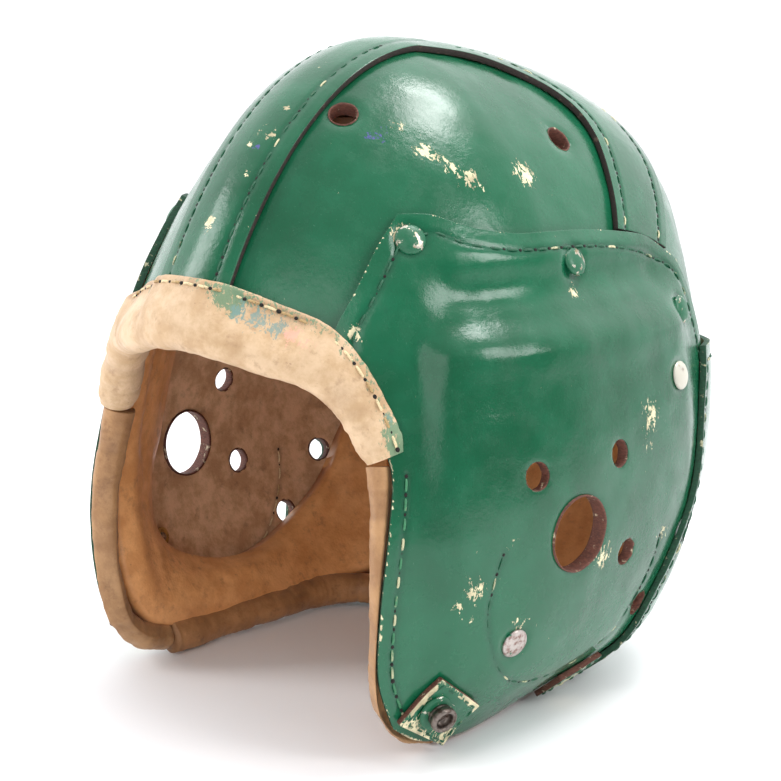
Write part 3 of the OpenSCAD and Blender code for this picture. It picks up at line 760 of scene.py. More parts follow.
def spots(points, table):
    """How strongly each point is in one of the spots, from 0 to 1."""
    out = np.zeros(points.shape[:-1])
    for az, z, r in table:
        c = lift(az, z, 2.0)
        out = np.maximum(out, np.exp(-(np.linalg.norm(points - c, axis=-1)/(r*1.25))**2))
    return out


def random_spots(seed, az_range, z_range, count, size):
    """A few more spots where the helmet has been knocked."""
    local = np.random.default_rng(seed)
    return [(local.uniform(*az_range), local.uniform(*z_range), size*local.uniform(0.4, 1.2))
            for _ in range(count)]


def holes_at(table, radius):
    """Holes for sheet() at shell places."""
    return [(on_shell(az, z), normal(az, z), radius) for az, z in table]


def border_wear(points, width=1.35):
    """1 at the edge of a grid, falling to 0 a few millimetres in."""
    rim = np.concatenate([points[0], points[-1], points[:, 0], points[:, -1]])
    return np.exp(-(distance_to(points, rim[::2])/width)**2)


def sunk_holes(points, normals, table, radius, depth):
    """Leather dips a little towards a punched hole."""
    for az, z in table:
        d = np.linalg.norm(points - on_shell(az, z), axis=-1)
        points = points - normals*(depth*np.exp(-((d - radius)/2.0)**2)*(d > radius - 2))[..., None]
    return points


# ---- shell panels ----
def crown_places(nu, nv, x, low):
    """Places of a grid from the plane at x down to low above the crown's lower edge."""
    k = np.linspace(0, 1, nu + 1)
    az = 8 + 165*(0.5*k + 0.25*(1 - np.cos(np.pi*k)))
    base = at_azimuth(CROWN_LOW, az) + low
    lo, hi = base.copy(), np.full_like(base, HELMET_H - 0.05)
    for _ in range(26):
        mid = (lo + hi)/2
        wide = np.abs(on_shell(az, mid)[:, 0]) > x
        lo, hi = np.where(wide, mid, lo), np.where(wide, hi, mid)
    top = (lo + hi)/2
    s = np.linspace(0, 1, nv + 1)**1.7
    return np.repeat(az[:, None], nv + 1, 1), top[:, None] - (top - base)[:, None]*s[None]


def crown_panel(name):
    """Half of the crown, from under the strip to under the side panel."""
    az, z = crown_places(190, 90, STRIP_W/2 - 3, 0)
    n = normal(az, z)
    base = on_shell(az, z)
    outer = base + n*(0.25*fbm(base, 26, 1))[..., None]
    outer = sunk_holes(outer, n, CROWN_VENTS, VENT_R, 0.5)
    table = CHIPS_LEFT + random_spots(3, (125, 170), (130, 215), 9, 2.4)
    values = {"chip": spots(outer, table), "ink": spots(outer, INK_LEFT)}
    return sheet(name, outer, base - n*LEATHER_T, [paint, cut_dark, flesh],
                 holes_at(CROWN_VENTS, VENT_R), values)


def plane_hit(x, a):
    """Shell point in the lengthwise plane at x, at angle a up from straight ahead at BROW_Z."""
    x, a = np.broadcast_arrays(np.asarray(x, float), np.radians(a))
    lo, hi = np.full(x.shape, 40.0), np.full(x.shape, 150.0)
    for _ in range(30):
        r = (lo + hi)/2
        y, z = AXIS_Y - r*np.cos(a), BROW_Z + r*np.sin(a)
        zc = np.clip(z, 0, HELMET_H - 0.012)
        azim = np.degrees(np.arctan2(x, AXIS_Y - y))
        out = (z > HELMET_H - 0.01) | (np.hypot(x, y - AXIS_Y) > reach(azim, zc))
        lo, hi = np.where(out, lo, r), np.where(out, r, hi)
    return np.stack([x, AXIS_Y - lo*np.cos(a), BROW_Z + lo*np.sin(a)], -1)


def plane_frame(x, a):
    """Shell point and outward normal at a plane place."""
    p = plane_hit(x, a)
    n = np.cross(plane_hit(x, a - 1.5) - plane_hit(x, a + 1.5),
                 plane_hit(x + 1.5, a) - plane_hit(x - 1.5, a))
    return p, unit(n)


BAND_FRONT = [(15.5, 90), (19, 97), (24, 103), (30, 108), (37, 114), (44, 118), (52, 120.3),
              (60, 121.3), (67, 122.2), (72.4, 122.8)]
BAND_REAR = [(15.5, 143), (18.5, 137.5), (23, 134.5), (30, 133.3), (38, 133.8), (46, 135.3),
             (54, 137.8), (62, 140), (68, 141.8), (73.5, 143.5)]


def strip_point(x, a, rows):
    """Outer and inner face of the strip, its surface normal and how deep its stitch rows lie."""
    p, n = plane_frame(x, a)
    lump = 0.12*fbm(p, 20, 4)
    return p + n*(GAP + LEATHER_T + lump - 0.30*rows)[..., None], p + n*GAP, n


def crown_strip():
    """Lengthwise strip and the band across it, cut from one piece of leather."""
    angles = np.arange(181, 22.4, -0.5)
    x, a = np.meshgrid(np.linspace(-1, 1, 33)*STRIP_W/2, angles, indexing="ij")
    clear = (a < 95) | (a > 140)
    rows = np.exp(-((np.abs(x) - 10)/0.9)**2)*clear
    edge = 0.6*np.exp(-((STRIP_W/2 - np.abs(x))/1.2)**2)*clear
    middle = strip_point(x, a, rows)
    cross = angles[(angles >= 90) & (angles <= 143)]
    u, v = np.meshgrid(np.linspace(0, 1, 90), (cross - 90)/53, indexing="ij")
    front, rear = along(BAND_FRONT, u), along(BAND_REAR, u)
    q = (1 - v[..., None])*front + v[..., None]*rear
    side_rows = np.maximum(np.exp(-((v - 0.16)/0.03)**2), np.exp(-((v - 0.84)/0.03)**2))*(u > 0.25)
    left = strip_point(q[..., 0], q[..., 1], side_rows)
    flip = np.array([-1, 1, 1])
    side_edge = 0.6*np.exp(-(np.minimum(v, 1 - v)/0.035)**2)*(u > 0.1)
    grids = [(middle[0], middle[1]), (left[0], left[1]),
             ((left[0]*flip)[::-1], (left[1]*flip)[::-1])]
    marks = [(rows, edge), (side_rows, side_edge), (side_rows[::-1], side_edge[::-1])]
    table = random_spots(11, (0, 8), (160, 225), 10, 1.6)
    # The last value is painted shade along the pressed stitch rows.
    values = {"chip": np.concatenate([spots(g[0], table).ravel()*0.9 for g in grids]),
              "ink": np.concatenate([spots(g[0], [(4, 192, 1.5)]).ravel() for g in grids]),
              "edge": np.concatenate([m[1].ravel() for m in marks]),
              "groove": np.concatenate([m[0].ravel()*0.8 for m in marks])}
    obj = welded_sheet("crown_strip_leather", grids, [paint, cut_dark, flesh], values, 0.5)
    finish_mesh(obj)
    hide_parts("crown_strip", "crown_band_left", "crown_band_right")
    strip_stitches()


def strip_stitches():
    """Rows along both edges of the strip and of the band across it."""
    look = {"pitch": 5.6, "radius": 0.36, "gap": 1.3, "rise": 0.22}
    height = GAP + LEATHER_T - 0.28
    lines = (("front", np.linspace(26, 84, 300)), ("back", np.linspace(146, 178, 200)))
    for x, side in ((-10, "right"), (10, "left")):
        for part, line in lines:
            p, n = plane_frame(np.full(len(line), float(x)), line)
            stitches_on("strip_stitches_" + part + "_" + side, p + n*height, n, thread_green, **look)
    u = np.linspace(0.0, 0.985, 260)
    for part, share in (("front", 0.16), ("rear", 0.84)):
        q = (1 - share)*along(BAND_FRONT, u) + share*along(BAND_REAR, u)
        p, n = plane_frame(q[:, 0], q[:, 1])
        stitches_on("band_stitches_" + part + "_left", p + n*height, n, thread_green,
                    mirror_too=True, **look)


POCKET = along(POCKET_ROW, np.linspace(0, 1, 300))
SEAM = FLAP_FRONT[4:0:-1] + [(42.5, 168.5)] + FLAP_TOP[1:] + FLAP_REAR[1:3]
FRONT_ROW = FLAP_FRONT[7:]


def side_face(az, z):
    """How far out the face of the side panel lies."""
    return SIDE_O + relief(az, z)


def seam_row():
    return inset(SEAM, -6.0)[12:]


def front_row():
    return inset(FRONT_ROW, 4.4)[4:]


def side_panel(name):
    """Moulded side with its ear flap, dented round the rivets and along the stitches, with painted
    shade in the dents.
    """
    u, v = uv(170, 170)
    q = patch((FLAP_FRONT, FLAP_TOP, FLAP_REAR, FLAP_BOTTOM), u, v)
    az, z = q[..., 0], q[..., 1]
    n = normal(az, z)
    base = on_shell(az, z)
    shape = relief(az, z)
    outer = base + n*(SIDE_O + shape + 0.35*fbm(base, 30, 2))[..., None]
    outer = sunk_holes(outer, n, [EAR_AT], EAR_R, 0.5)
    outer = sunk_holes(outer, n, SIDE_VENTS, VENT_R, 0.45)
    # The row marks and the rings round the rivet dents below become painted shade.
    outer, groove = press_rows(outer, n, [seam_row(), front_row()], 0.35, side_face)
    outer, pocket_mark = press_rows(outer, n, [POCKET], 0.3, side_face)
    groove = np.maximum(groove, pocket_mark)
    for at in SLING_AT + [LINING_AT, POCKET_AT]:
        d = np.linalg.norm(outer - lift(*at, side_face(*at)), axis=-1)
        outer = outer - n*(0.5*np.exp(-((d - 5)/1.6)**2))[..., None]
        groove = np.maximum(groove, 0.7*np.exp(-((d - 5.2)/0.8)**2))
    inner = base + n*(GAP + shape)[..., None]
    table = CHIPS_LEFT + random_spots(5, (60, 135), (10, 150), 14, 1.5)
    values = {"chip": spots(outer, [(a, h, 1.4*r) for a, h, r in table]),
              "edge": border_wear(outer), "groove": groove*0.8}
    holes = holes_at([EAR_AT], EAR_R) + holes_at(SIDE_VENTS, VENT_R)
    return sheet(name, outer, inner, [paint_worn, cut_pale, flesh], holes, values)


def side_offset(az, z):
    """How far out the thread of the side panel lies."""
    return side_face(az, z) - 0.3


def neck_seat(az):
    """How far out the neck panel lies: over the side panels and over the strip."""
    return GAP + SIDE_O*(1 - smooth(az, 139, 148) + smooth(az, 165, 171))


def neck_panel():
    """Panel across the back, over the rear edges of both side panels."""
    u, v = uv(220, 100)
    e = along(NECK_EDGE, v)
    az, z = e[..., 0] + (360 - 2*e[..., 0])*u, e[..., 1]

    def seat(a, h):
        fold = np.minimum(a, 360 - a)
        return neck_seat(fold) + relief(fold, h)

    def thread_height(a, h):
        return seat(a, h) + LEATHER_T - 0.3

    n = normal(az, z)
    base = on_shell(az, z)
    outer = base + n*(seat(az, z) + LEATHER_T + 0.3*fbm(base, 26, 9))[..., None]
    inner = base + n*seat(az, z)[..., None]
    places = np.stack([az, z], -1)
    rows = {"top": places[4:-4, 5], "left": places[3, 5:95], "right": places[-4, 5:95]}
    # The row marks become painted shade in the stitch channels.
    outer, groove = press_rows(outer, n, rows.values(), 0.35, thread_height)
    table = random_spots(21, (120, 240), (15, 115), 26, 2.2)
    values = {"chip": spots(outer, table), "edge": border_wear(outer, 1.5), "groove": groove*0.8}
    vents = SIDE_VENTS[3:] + [(-a, h) for a, h in SIDE_VENTS[3:]]
    obj = sheet("neck_panel_leather", outer, inner, [paint_worn, cut_pale, flesh],
                holes_at(vents, VENT_R), values)
    finish_mesh(obj)
    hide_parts("neck_panel")
    for key, row in rows.items():
        stitch_row("neck_stitches_" + key, row, thread_height, thread_green)


# ---- rolled edges ----
def roll_rings(path, sections, n):
    """Rings of a roll: sections is (n, m, 2), each point a distance past the path and an offset."""
    t = np.linspace(0, 1, n)
    q, a, b = (along(path, np.clip(t + e, 0, 1)) for e in (0, -0.004, 0.004))
    nrm = normal(q[:, 0], q[:, 1])
    p = on_shell(q[:, 0], q[:, 1])
    d = unit(np.cross(on_shell(b[:, 0], b[:, 1]) - on_shell(a[:, 0], a[:, 1]), nrm))
    return p[:, None] + d[:, None]*sections[..., :1] + nrm[:, None]*sections[..., 1:]


def rounded(section, m, passes=3):
    """Closed outline through section points, smoothed and evenly spaced."""
    s = np.asarray(section, float)
    closed = np.concatenate([s, s[:1]])
    pts = resample(closed, np.linalg.norm(np.diff(closed, axis=0), axis=1).sum()/m)[:-1]
    if len(pts) != m:
        idx = np.linspace(0, len(closed) - 1, m, endpoint=False)
        pts = np.stack([np.interp(idx, np.arange(len(closed)), closed[:, k]) for k in (0, 1)], -1)
    for _ in range(passes):
        pts = 0.5*pts + 0.25*(np.roll(pts, 1, 0) + np.roll(pts, -1, 0))
    return pts


def brow_section(t):
    """Outline of the brow roll at t along it, thinner towards its ends."""
    k = 1 - abs(2*t - 1)
    w, m = 10 + 10*float(smooth(k, 0, 0.75)), 1 - k
    top = float(smooth(m, 0.38, 0.5)) + 1 - float(smooth(m, 0.13, 0.2))
    f, b = SIDE_O*top + 0.35, WEB_O - 0.3
    return [(-2.6, f - 0.1), (-2.5, f + 1.0), (0.25*w, f + 1.9), (0.5*w, f*0.5 + 3.6), (0.78*w, 4.3),
            (w, 2.6), (w + 1.6, -1.6), (w + 0.6, -5.5), (0.8*w, -8.2), (0.4*w, -9.4),
            (-1, b - 2.0), (-2.6, b - 0.1), (0.2*w, b), (6.4, b), (6.4, f*0.5), (6.3, f - 0.2),
            (2, f - 0.25)]


def wrinkle(points, along_s, amount, seed, spacing=7.0):
    """Soft folds across a roll, from noise stretched round it."""
    q = np.stack([along_s/spacing, points[..., 2]/60, points[..., 1]/60], -1)
    folds = np.array([noise.fractal(Vector(p) + Vector((seed, 0, 0)), 0.7, 2.0, 3)
                      for p in q.reshape(-1, 3)]).reshape(points.shape[:-1])
    return amount*folds


def centre_push(rings, amount):
    """Move ring points away from each ring's middle by amount."""
    mid = rings.mean(1, keepdims=True)
    return rings + unit(rings - mid)*amount[..., None]


def brow_marks(rings, near_edge):
    """Paint and rubbed spots on the brow roll; near_edge is 1 beside the painted leather."""
    azim = place(rings)[0]
    green = spots(rings, [(44, 107, 5), (31, 129, 2), (33, 128, 1.6), (10, 146.5, 4), (12, 144, 3),
                          (-12, 147, 3)])
    blue = spots(rings, [(13, 144, 4), (17, 142, 4.4), (21, 139.5, 4), (42, 113, 3)])
    pink = spots(rings, [(24, 137, 3), (27, 134.5, 3), (40, 114, 2)])
    return {"green_rub": np.clip(0.62*near_edge*smooth(azim, -14, 6) + green, 0, 1),
            "blue_rub": 0.85*blue, "pink_rub": pink}


def brow_roll():
    """Padded roll along the brow, creased towards its two ends, which are drawn in, with painted shade
    in its creases.
    """
    path = [(-a, z) for a, z in BROW_LINE[:0:-1]] + BROW_LINE
    n, m = 300, 72
    t = np.linspace(0, 1, n)
    rings = roll_rings(path, np.stack([rounded(brow_section(k), m) for k in t]), n)
    run = run_along(rings.mean(1))
    s = np.repeat(run[:, None], m, 1)
    ends = np.minimum(s, run[-1] - s)
    puff = 0.35*fbm(rings, 14, 6) + wrinkle(rings, s, 0.55, 3)*(0.35 + np.exp(-(ends/26)**2))
    rings = centre_push(rings, puff)
    shrink = 1 - 0.22*np.exp(-(ends/2.2)**2)
    mid = rings.mean(1, keepdims=True)
    rings = mid + (rings - mid)*shrink[..., None]
    line = along(path, t)
    dist = distance_to(rings, lift(line[:, 0], line[:, 1], np.full(n, 2.4)))
    # Painted shade: darker along the stitch line and in the sunken folds.
    crease = np.clip(np.exp(-(dist/1.5)**2) + 0.8*np.clip(-puff, 0, 1), 0, 1)
    values = {"groove": crease, **brow_marks(rings, np.exp(-(dist/4)**2))}
    obj = tube("brow_roll_leather", rings, [roll_tan], values)
    finish_mesh(obj)
    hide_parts("brow_roll")

    def roll_top(a, _):
        k = np.abs(a)
        return GAP + 1.6 + SIDE_O*(smooth(k, 29, 34) + 1 - smooth(k, 8, 12))

    stitch_row("brow_stitches", inset(path, -0.8)[4:-4], roll_top, thread_tan, pitch=6.0, radius=0.45)


EDGE_SECTION = [(-7, -1.7), (-3, -1.6), (0.2, -1.4), (0.7, 1.1), (3.2, 1.9), (5.8, 0.6),
                (7.1, -3.0), (5.4, -7.2), (1, -9.1), (-5, -7.6), (-7.2, -4.6)]
BASE_SECTION = [(-7, -1.7), (-3, -1.6), (0.2, -1.3), (0.6, 0.4), (3, 1.1), (5.4, -0.8),
                (6.3, -4.3), (4.2, -8.0), (0, -9.3), (-5, -8), (-7.2, -5)]


def edge_swell(t):
    """Width of the flap roll along it: full at the brow, thin below."""
    return 1 - 0.85*smooth(t, 0.05, 0.55) + 0.35*smooth(t, 0.75, 0.95)


def roll(name, path, section, n, seed, material, fold=0.5, swell=None):
    """Stuffed edge roll, flattened where it stands on the floor, with painted shade in its sunken
    folds.
    """
    m = 48
    sections = np.repeat(rounded(section, m)[None], n, 0)
    if swell is not None:
        wide = swell(np.linspace(0, 1, n))[:, None]
        ahead = sections[..., 0] - 0.5
        sections[..., 0] = 0.5 + np.where(ahead > 0, ahead*wide, ahead)
        below = sections[..., 1] + 2
        sections[..., 1] = np.where(below < 0, below*(0.6 + 0.4*wide), below) - 2
    rings = roll_rings(path, sections, n)
    s = np.repeat(run_along(rings.mean(1))[:, None], m, 1)
    puff = 0.3*fbm(rings, 12, seed) + wrinkle(rings, s, fold, seed)
    rings = centre_push(rings, puff*smooth(rings[..., 2], 0, 1.6))
    rings[..., 2] = np.maximum(rings[..., 2], 0.0)
    # Painted shade in the sunken folds.
    return tube(name, rings, [material], {"groove": np.clip(-puff*1.2, 0, 1)})


def edge_roll(name):
    return roll(name, EDGE_LINE, EDGE_SECTION, 160, 12, roll_flap, fold=0.45, swell=edge_swell)


def base_roll():
    path = [(53.2, 4.6)] + [(az, SHELL_Z) for az in range(60, 301, 8)] + [(306.8, 4.6)]
    obj = roll("base_roll_leather", path, BASE_SECTION, 420, 15, roll_brown)
    finish_mesh(obj)
    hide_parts("base_roll")


# ---- linings and padding ----
def ear_lining(name):
    """Thin leather inside the ear pocket, with painted shade along the line where the stitches print
    through it.
    """
    u, v = uv(90, 80)
    q = patch(LINING_EDGES, u, v)
    az, z = q[..., 0], q[..., 1]
    n, base = normal(az, z), on_shell(az, z)
    shape = relief(az, z) - 0.1
    lumps = 0.35*fbm(base, 18, 31)
    outer = base + n*shape[..., None]
    inner = base + n*(shape - LINING_T + lumps)[..., None]
    line = lift(POCKET[:, 0], POCKET[:, 1], relief(POCKET[:, 0], POCKET[:, 1]) - LINING_T)
    # Painted shade along the stitch line, with no dent in the mesh.
    mark = np.exp(-(distance_to(inner, resample(line, 1))/1.4)**2)
    holes = holes_at([EAR_AT], EAR_R + 0.3) + holes_at(SIDE_VENTS, VENT_R)
    return sheet(name, outer, inner, [lining_leather, cut_red, lining_leather], holes,
                 {"groove": mark*0.8}, 0.3)


def pad_surface(t, s, thickness):
    """Points of the ear pad: t along its band, s across, thickness 0 at the back."""
    q = (1 - s)[..., None]*along(PAD_OUTER, t) + s[..., None]*along(PAD_INNER, t)
    swell = PAD_T*np.sin(np.radians(14 + 140*s))**0.6*np.sin(np.radians(16 + 128*t))**0.4
    az, z = q[..., 0], q[..., 1]
    off = PAD_O + relief(az, z)*smooth(s, 0, 0.4) - thickness*swell
    return lift(az, z, off), normal(az, z)


def ear_pad(name):
    """Cushion round three sides of the ear pocket."""
    s, t = np.meshgrid(np.linspace(1, 0, 41), np.linspace(1, 0, 171), indexing="ij")
    back, n = pad_surface(t, s, np.zeros(s.shape))
    front, _ = pad_surface(t, s, np.ones(s.shape))
    puff = 0.5*fbm(front, 22, 41) + 0.25*fbm(front, 6, 43)
    front = front - n*(puff*np.sin(np.pi*np.clip(s, 0.02, 0.98)))[..., None]
    # Painted shade where the pad is pushed in.
    return sheet(name, back, front, [pad_leather]*3, (), {"groove": np.clip(-puff*0.5, 0, 1)}, 0)


def neck_pad():
    """Cushion across the nape."""
    u, v = uv(130, 90)
    az, z = 137 + 86*u, 104 - 92*v
    swell = (PAD_T*np.sin(np.radians(10 + 160*u))**0.4*np.sin(np.radians(12 + 150*v))**0.5)
    seat = PAD_O + FELT_O*smooth(z, 98, 106)
    back = lift(az, z, seat)
    front = lift(az, z, seat - swell)
    puff = 0.5*fbm(front, 22, 51)
    front = front - normal(az, z)*puff[..., None]
    # Painted shade where the pad is pushed in.
    obj = sheet("neck_pad_leather", back, front, [pad_leather]*3, (),
                {"groove": np.clip(-puff*0.5, 0, 1)}, 0)
    finish_mesh(obj)
    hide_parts("neck_pad")


def felt_lining(name):
    """Felt under half of the crown."""
    az, z = crown_places(100, 50, 0.4, 2)
    n, base = normal(az, z), on_shell(az, z)
    outer = base + n*FELT_O
    inner = base + n*(FELT_O - FELT_T + 0.2*fbm(base, 8, 61))[..., None]
    return sheet(name, outer, inner, [felt_cloth]*3, holes_at(CROWN_VENTS, VENT_R), None, 0)


# ---- fittings ----
def corner_patch(corners, nu, nv):
    """Places of a grid between four corners."""
    u, v = uv(nu, nv)
    c = [np.asarray(p, float) for p in corners]
    u1, v1 = u[..., None], v[..., None]
    q = (1 - u1)*(1 - v1)*c[0] + u1*(1 - v1)*c[1] + u1*v1*c[2] + (1 - u1)*v1*c[3]
    return q[..., 0], q[..., 1]


def tab(name, corners, wear_table):
    """Square of painted leather sewn on the outside of the flap."""
    az, z = corner_patch(corners, 44, 44)
    low = TAB_O + relief(az, z)
    outer = (lift(az, z, low + LEATHER_T)
             + normal(az, z)*(0.2*fbm(on_shell(az, z), 9, 71))[..., None])
    values = {"chip": spots(outer, wear_table),
              "edge": np.clip(border_wear(outer, 3.0)*1.1, 0, 1)}
    return sheet(name, outer, lift(az, z, low), [paint_worn, cut_red, flesh], (), values, 0.5)


def tab_stitches(name, corners):
    """Loop of stitches a little inside the edge of a tab."""
    c = np.asarray(corners, float)
    mid = c.mean(0)
    loop = mid + (c - mid)*0.84
    loop = np.concatenate([loop, loop[:1]])
    stitch_row(name, resample(loop*PATH_ASPECT, 0.5)/PATH_ASPECT,
               lambda a, h: TAB_O + relief(a, h) + LEATHER_T - 0.15, thread_green,
               pitch=4.6, radius=0.36, gap=1.2, rise=0.3, mirror_too=True)


def web(name, at):
    """Sling web from its rivet up to the crown ring."""
    out = np.array([math.sin(math.radians(at[0])), -math.cos(math.radians(at[0])), 0])
    side = np.array([math.cos(math.radians(at[0])), math.sin(math.radians(at[0])), 0])
    ring_z, ring_t, web_t, web_w = 202.0, 2.4, 1.6, 16.0
    end = np.array([0, AXIS_Y, ring_z - ring_t - web_t/2 - GAP]) + out*29
    p = [lift(at[0], at[1] - 7, WEB_O - web_t/2 - 4*GAP), lift(at[0], at[1] + 32, WEB_O - 10),
         end + out*24, end]

    def mid(t):
        t = t[:, None]
        return (1 - t)**3*p[0] + 3*(1 - t)**2*t*p[1] + 3*(1 - t)*t*t*p[2] + t**3*p[3]

    t = np.linspace(1, 0, 60)
    up = unit(np.cross(mid(t + 0.01) - mid(t - 0.01), side))
    w = np.linspace(-1, 1, 17)
    c = mid(t)
    ribs = 0.12*np.cos(w*math.pi*9)
    grid = [c[None] + side*(w[:, None, None]*web_w/2)
            - f*up[None]*(web_t/2 + ribs[:, None, None]*0.5) for f in (1, -1)]
    across = np.repeat((np.abs(w) < 0.45)[:, None].astype(float), 60, 1)
    return sheet(name, grid[0], grid[1], [web_cloth]*3,
                 [(on_shell(*at), normal(*at), 1.85)], {"across": across}, 0)


def rivet_profile(grip, flat):
    """Half outline of a rivet with a 10 mm head, its shank reaching grip below the seat."""
    head = ([(5, 0.55), (4.7, 1.0), (3.6, 1.35), (2, 1.5), (0.8, 1.55)] if flat else
            [(5, 0.5), (4.6, 0.95), (3.8, 1.4), (2.7, 1.78), (1.4, 1.99), (0.5, 2.05)])
    shank = [(0.02, -grip), (1.7, -grip), (1.7, -0.2), (4.65, -0.2), (5, 0.12)]
    return shank + head + [(0.02, head[-1][1])]


def rivets(name, places, grip, material, node, flat=False):
    """Rivets at shell places and their mirror images, sunk half a millimetre."""
    objs = []
    for at in places:
        seat = SIDE_O + float(relief(*at)) - 0.5
        for flip in (False, True):
            objs.append(lathe("rivet", rivet_profile(grip, flat), frame_at(*at, seat),
                              [material], 48, flip))
    obj = finish_mesh(join(name, objs))
    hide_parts(node)


def snap():
    """Base disc and hollow stud of the chin strap snap, on both sides."""
    seat = SIDE_O + GAP + LEATHER_T + 1
    disc = [(0.02, -0.6), (6.3, -0.6), (6.6, -0.3), (6.55, 0.35), (6.0, 0.8), (5.4, 0.9), (0.02, 0.9)]
    stud = [(0.02, -8), (1.7, -8), (1.7, 0), (4.1, 0), (3.9, 0.4), (3.8, 1.2), (4.2, 1.6),
            (4.5, 2.1), (4.5, 3.0), (4.4, 3.5), (4.1, 3.85), (3.7, 4.0), (3.2, 3.9),
            (2.9, 3.5), (2.75, 2.8), (2.7, 0.8), (1.2, 0.7), (1.1, 1.5), (0.8, 1.8), (0.02, 1.9)]
    for flip, side in ((False, "left"), (True, "right")):
        for name, profile, up, metal, node in (
                ("snap_base_disc_", disc, 0, rivet_green, "snap_base_"),
                ("snap_stud_turned_", stud, 1, snap_metal, "snap_stud_")):
            at = frame_at(*SNAP_AT, seat + up)
            obj = finish_mesh(lathe(name + side, profile, at, [metal], 64, flip))
            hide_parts(node + side)


def hole_lip(name, table, radius, low, high, material):
    """Ring that shows the cut wall of a punched hole through all its layers."""
    turns = 64 if radius > 8 else 36
    wall = [(0.4, low), (-0.25, low + 0.1), (-0.35, low + 0.8), (-0.3, high - 0.9),
            (-0.2, high - 0.45), (0.25, high - 0.25)]
    total = len(wall)*turns
    faces = [[q % total for q in f] for f in ring_faces(len(wall) + 1, turns, False)]
    angle = np.linspace(0, 2*math.pi, turns, endpoint=False)
    objs = []
    for az, z in table:
        rise = float(relief(az, z)) if high > 1 else 0.0
        rings = turned([(radius + r, h + rise) for r, h in wall], turns)
        rings[..., 2] += 0.08*np.sin(7*angle + az)
        m = frame_at(az, z)
        rings = rings @ m[:3, :3].T + m[:3, 3]
        for one in (rings[:, ::-1], rings*MIRROR):
            objs.append(make_object("lip", one.reshape(-1, 3), faces, [material]))
    finish_mesh(join(name, objs))


# ---- build ----
two_sided(crown_panel, "crown_leather", "painted_leather", "crown_panel")
crown_strip()
two_sided(side_panel, "side_leather", "painted_leather", "side_panel")
stitch_row("seam_stitches_left", seam_row(), side_offset, thread_green, mirror_too=True)
stitch_row("front_stitches_left", front_row(), side_offset, thread_pale, mirror_too=True)
stitch_row("pocket_stitches_left", POCKET, side_offset, thread_green, pitch=6.8, radius=0.32,
           rise=0.16, mirror_too=True)
pocket_az, pocket_z = POCKET.T
stitches_on("lining_stitches_left",
            lift(pocket_az, pocket_z, relief(pocket_az, pocket_z) - LINING_T - 0.1),
            -normal(pocket_az, pocket_z), thread_tan, pitch=6.8, radius=0.35, rise=0.4,
            mirror_too=True)
neck_panel()
brow_roll()
for piece in two_sided(edge_roll, "edge_roll_leather", "roll_leather", "edge_roll"):
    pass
base_roll()
two_sided(ear_lining, "ear_lining_leather", "lining_leather", "ear_lining")
for piece in two_sided(ear_pad, "ear_pad_leather", "pad_leather", "ear_pad"):
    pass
neck_pad()
two_sided(felt_lining, "felt_layer", "crown_felt", "felt_lining")
SNAP_TAB_WEAR = [(48, 10, 5), (45, 16, 5), (53, 8, 5), (47, 24, 3)]
two_sided(lambda n: tab(n, SNAP_CORNERS, SNAP_TAB_WEAR),
          "snap_tab_leather", "tab_leather", "snap_tab")
two_sided(lambda n: tab(n, STRAP_CORNERS, [(98, 12, 6)]),
          "strap_tab_leather", "tab_leather", "strap_tab")
tab_stitches("snap_tab_stitches_left", SNAP_CORNERS)
tab_stitches("strap_tab_stitches_left", STRAP_CORNERS)
snap()
for key, at in zip(("front", "mid", "rear"), SLING_AT):
    two_sided(lambda n, at=at: web(n, at), "sling_web_" + key, "webbing", "web_" + key)
rivets("sling_rivet_heads", SLING_AT, 15, rivet_green, "sling_rivets")
rivets("lining_rivet_heads", [LINING_AT], 6, rivet_cream, "lining_rivets")
rivets("ear_rivet_heads", [POCKET_AT], 6, rivet_bare, "ear_rivets", flat=True)
hole_lip("ear_hole_wall", [EAR_AT], EAR_R, -3.2, SIDE_O, cut_red)
hole_lip("side_vent_walls", SIDE_VENTS, VENT_R, -1.6, SIDE_O, cut_red)
hole_lip("crown_vent_walls", CROWN_VENTS, VENT_R, FELT_O - FELT_T, 0.0, cut_red)
for node, material in (("sling_burrs", brass), ("lining_burrs", brass), ("crown_ring", ring_leather)):
    for place_on_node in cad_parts[node].material_slots:
        place_on_node.material = material


# ---- floor, light and camera ----
def stage():
    """Pale floor and the studio round it."""
    t = Tree("studio_floor")
    t.set(Base_Color=(0.93, 0.93, 0.94), Roughness=0.6)
    mesh = bpy.data.meshes.new("floor")
    half = 12.0
    corners = [(-half, -half, 0), (half, -half, 0), (half, half, 0), (-half, half, 0)]
    mesh.from_pydata(corners, [], [(0, 1, 2, 3)])
    mesh.materials.append(t.material)
    floor = bpy.data.objects.new("floor", mesh)
    bpy.context.collection.objects.link(floor)
    bpy.context.scene.world = studio_world()
    bpy.context.scene.view_settings.view_transform = "Standard"


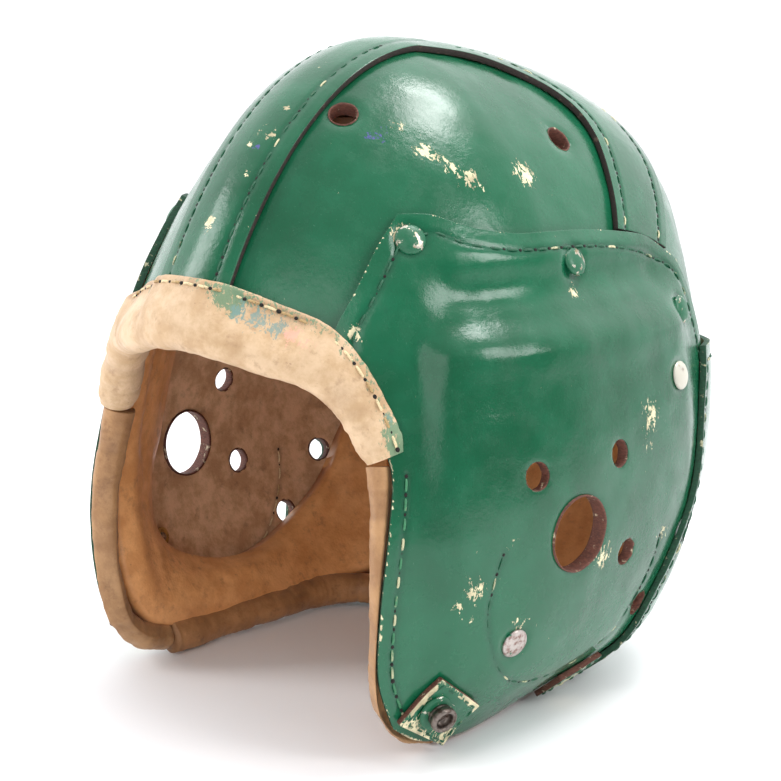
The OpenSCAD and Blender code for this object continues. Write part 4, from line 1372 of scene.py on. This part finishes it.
def studio_world():
    """White studio: bright behind the helmet and overhead, dim on the camera's side."""
    world = bpy.data.worlds.new("studio")
    world.use_nodes = True
    tree = world.node_tree
    way = tree.nodes.new("ShaderNodeTexCoord").outputs["Generated"]

    def facing(direction, low, high, start, end):
        dot = tree.nodes.new("ShaderNodeVectorMath")
        dot.operation = "DOT_PRODUCT"
        dot.inputs[1].default_value = direction
        tree.links.new(way, dot.inputs[0])
        ramp = tree.nodes.new("ShaderNodeMapRange")
        ramp.interpolation_type = "SMOOTHSTEP"
        for k, value in enumerate((low, high, start, end)):
            ramp.inputs[k + 1].default_value = value
        tree.links.new(dot.outputs["Value"], ramp.inputs[0])
        return ramp.outputs[0]

    total = tree.nodes.new("ShaderNodeMath")
    total.operation = "ADD"
    tree.links.new(facing((-0.649, 0.734, 0.0), -0.35, 0.5, 0.30, 1.6), total.inputs[0])
    tree.links.new(facing((0.0, 0.0, 1.0), 0.45, 0.95, 0.0, 0.5), total.inputs[1])
    shade = tree.nodes["Background"]
    shade.inputs[0].default_value = (0.98, 0.98, 1.0, 1)
    tree.links.new(total.outputs[0], shade.inputs[1])
    return world


def area_light(name, at, target, size, power):
    """Rectangular soft box aimed at target."""
    lamp = bpy.data.lights.new(name, "AREA")
    lamp.shape, lamp.size, lamp.size_y = "RECTANGLE", size[0], size[1]
    lamp.energy = power
    obj = bpy.data.objects.new(name, lamp)
    obj.location = at
    obj.rotation_mode = "QUATERNION"
    obj.rotation_quaternion = (Vector(target) - Vector(at)).to_track_quat("-Z", "Y")
    bpy.context.collection.objects.link(obj)


def camera():
    """Camera at the viewing angle of the photo."""
    azimuth, elevation, distance = math.radians(41.5), math.radians(11.62), 0.60872
    cam = bpy.data.cameras.new("camera")
    cam.lens, cam.sensor_width = 78.26, 36.0
    obj = bpy.data.objects.new("camera", cam)
    back = Vector((math.sin(azimuth)*math.cos(elevation), -math.cos(azimuth)*math.cos(elevation),
                   math.sin(elevation)))
    right = Vector((math.cos(azimuth), math.sin(azimuth), 0))
    up = back.cross(right)
    target = Vector((0, -0.01525, 0.120)) + right*0.00583 - up*0.01616
    obj.location = target + back*distance
    obj.rotation_mode = "QUATERNION"
    obj.rotation_quaternion = Matrix((right, up, back)).transposed().to_quaternion()
    bpy.context.collection.objects.link(obj)
    bpy.context.scene.camera = obj


stage()
area_light("overhead", (0.25, 0.35, 1.25), (0, 0, 0.15), (0.55, 0.35), 9)
area_light("right", (1.25, 0.25, 0.85), (0, 0, 0.12), (0.45, 0.7), 9)
area_light("left", (-1.0, -0.9, 0.75), (0, 0, 0.10), (0.5, 0.9), 11)
area_light("front", (0.75, -1.5, 0.9), (0, 0, 0.10), (1.2, 1.2), 9)
camera()
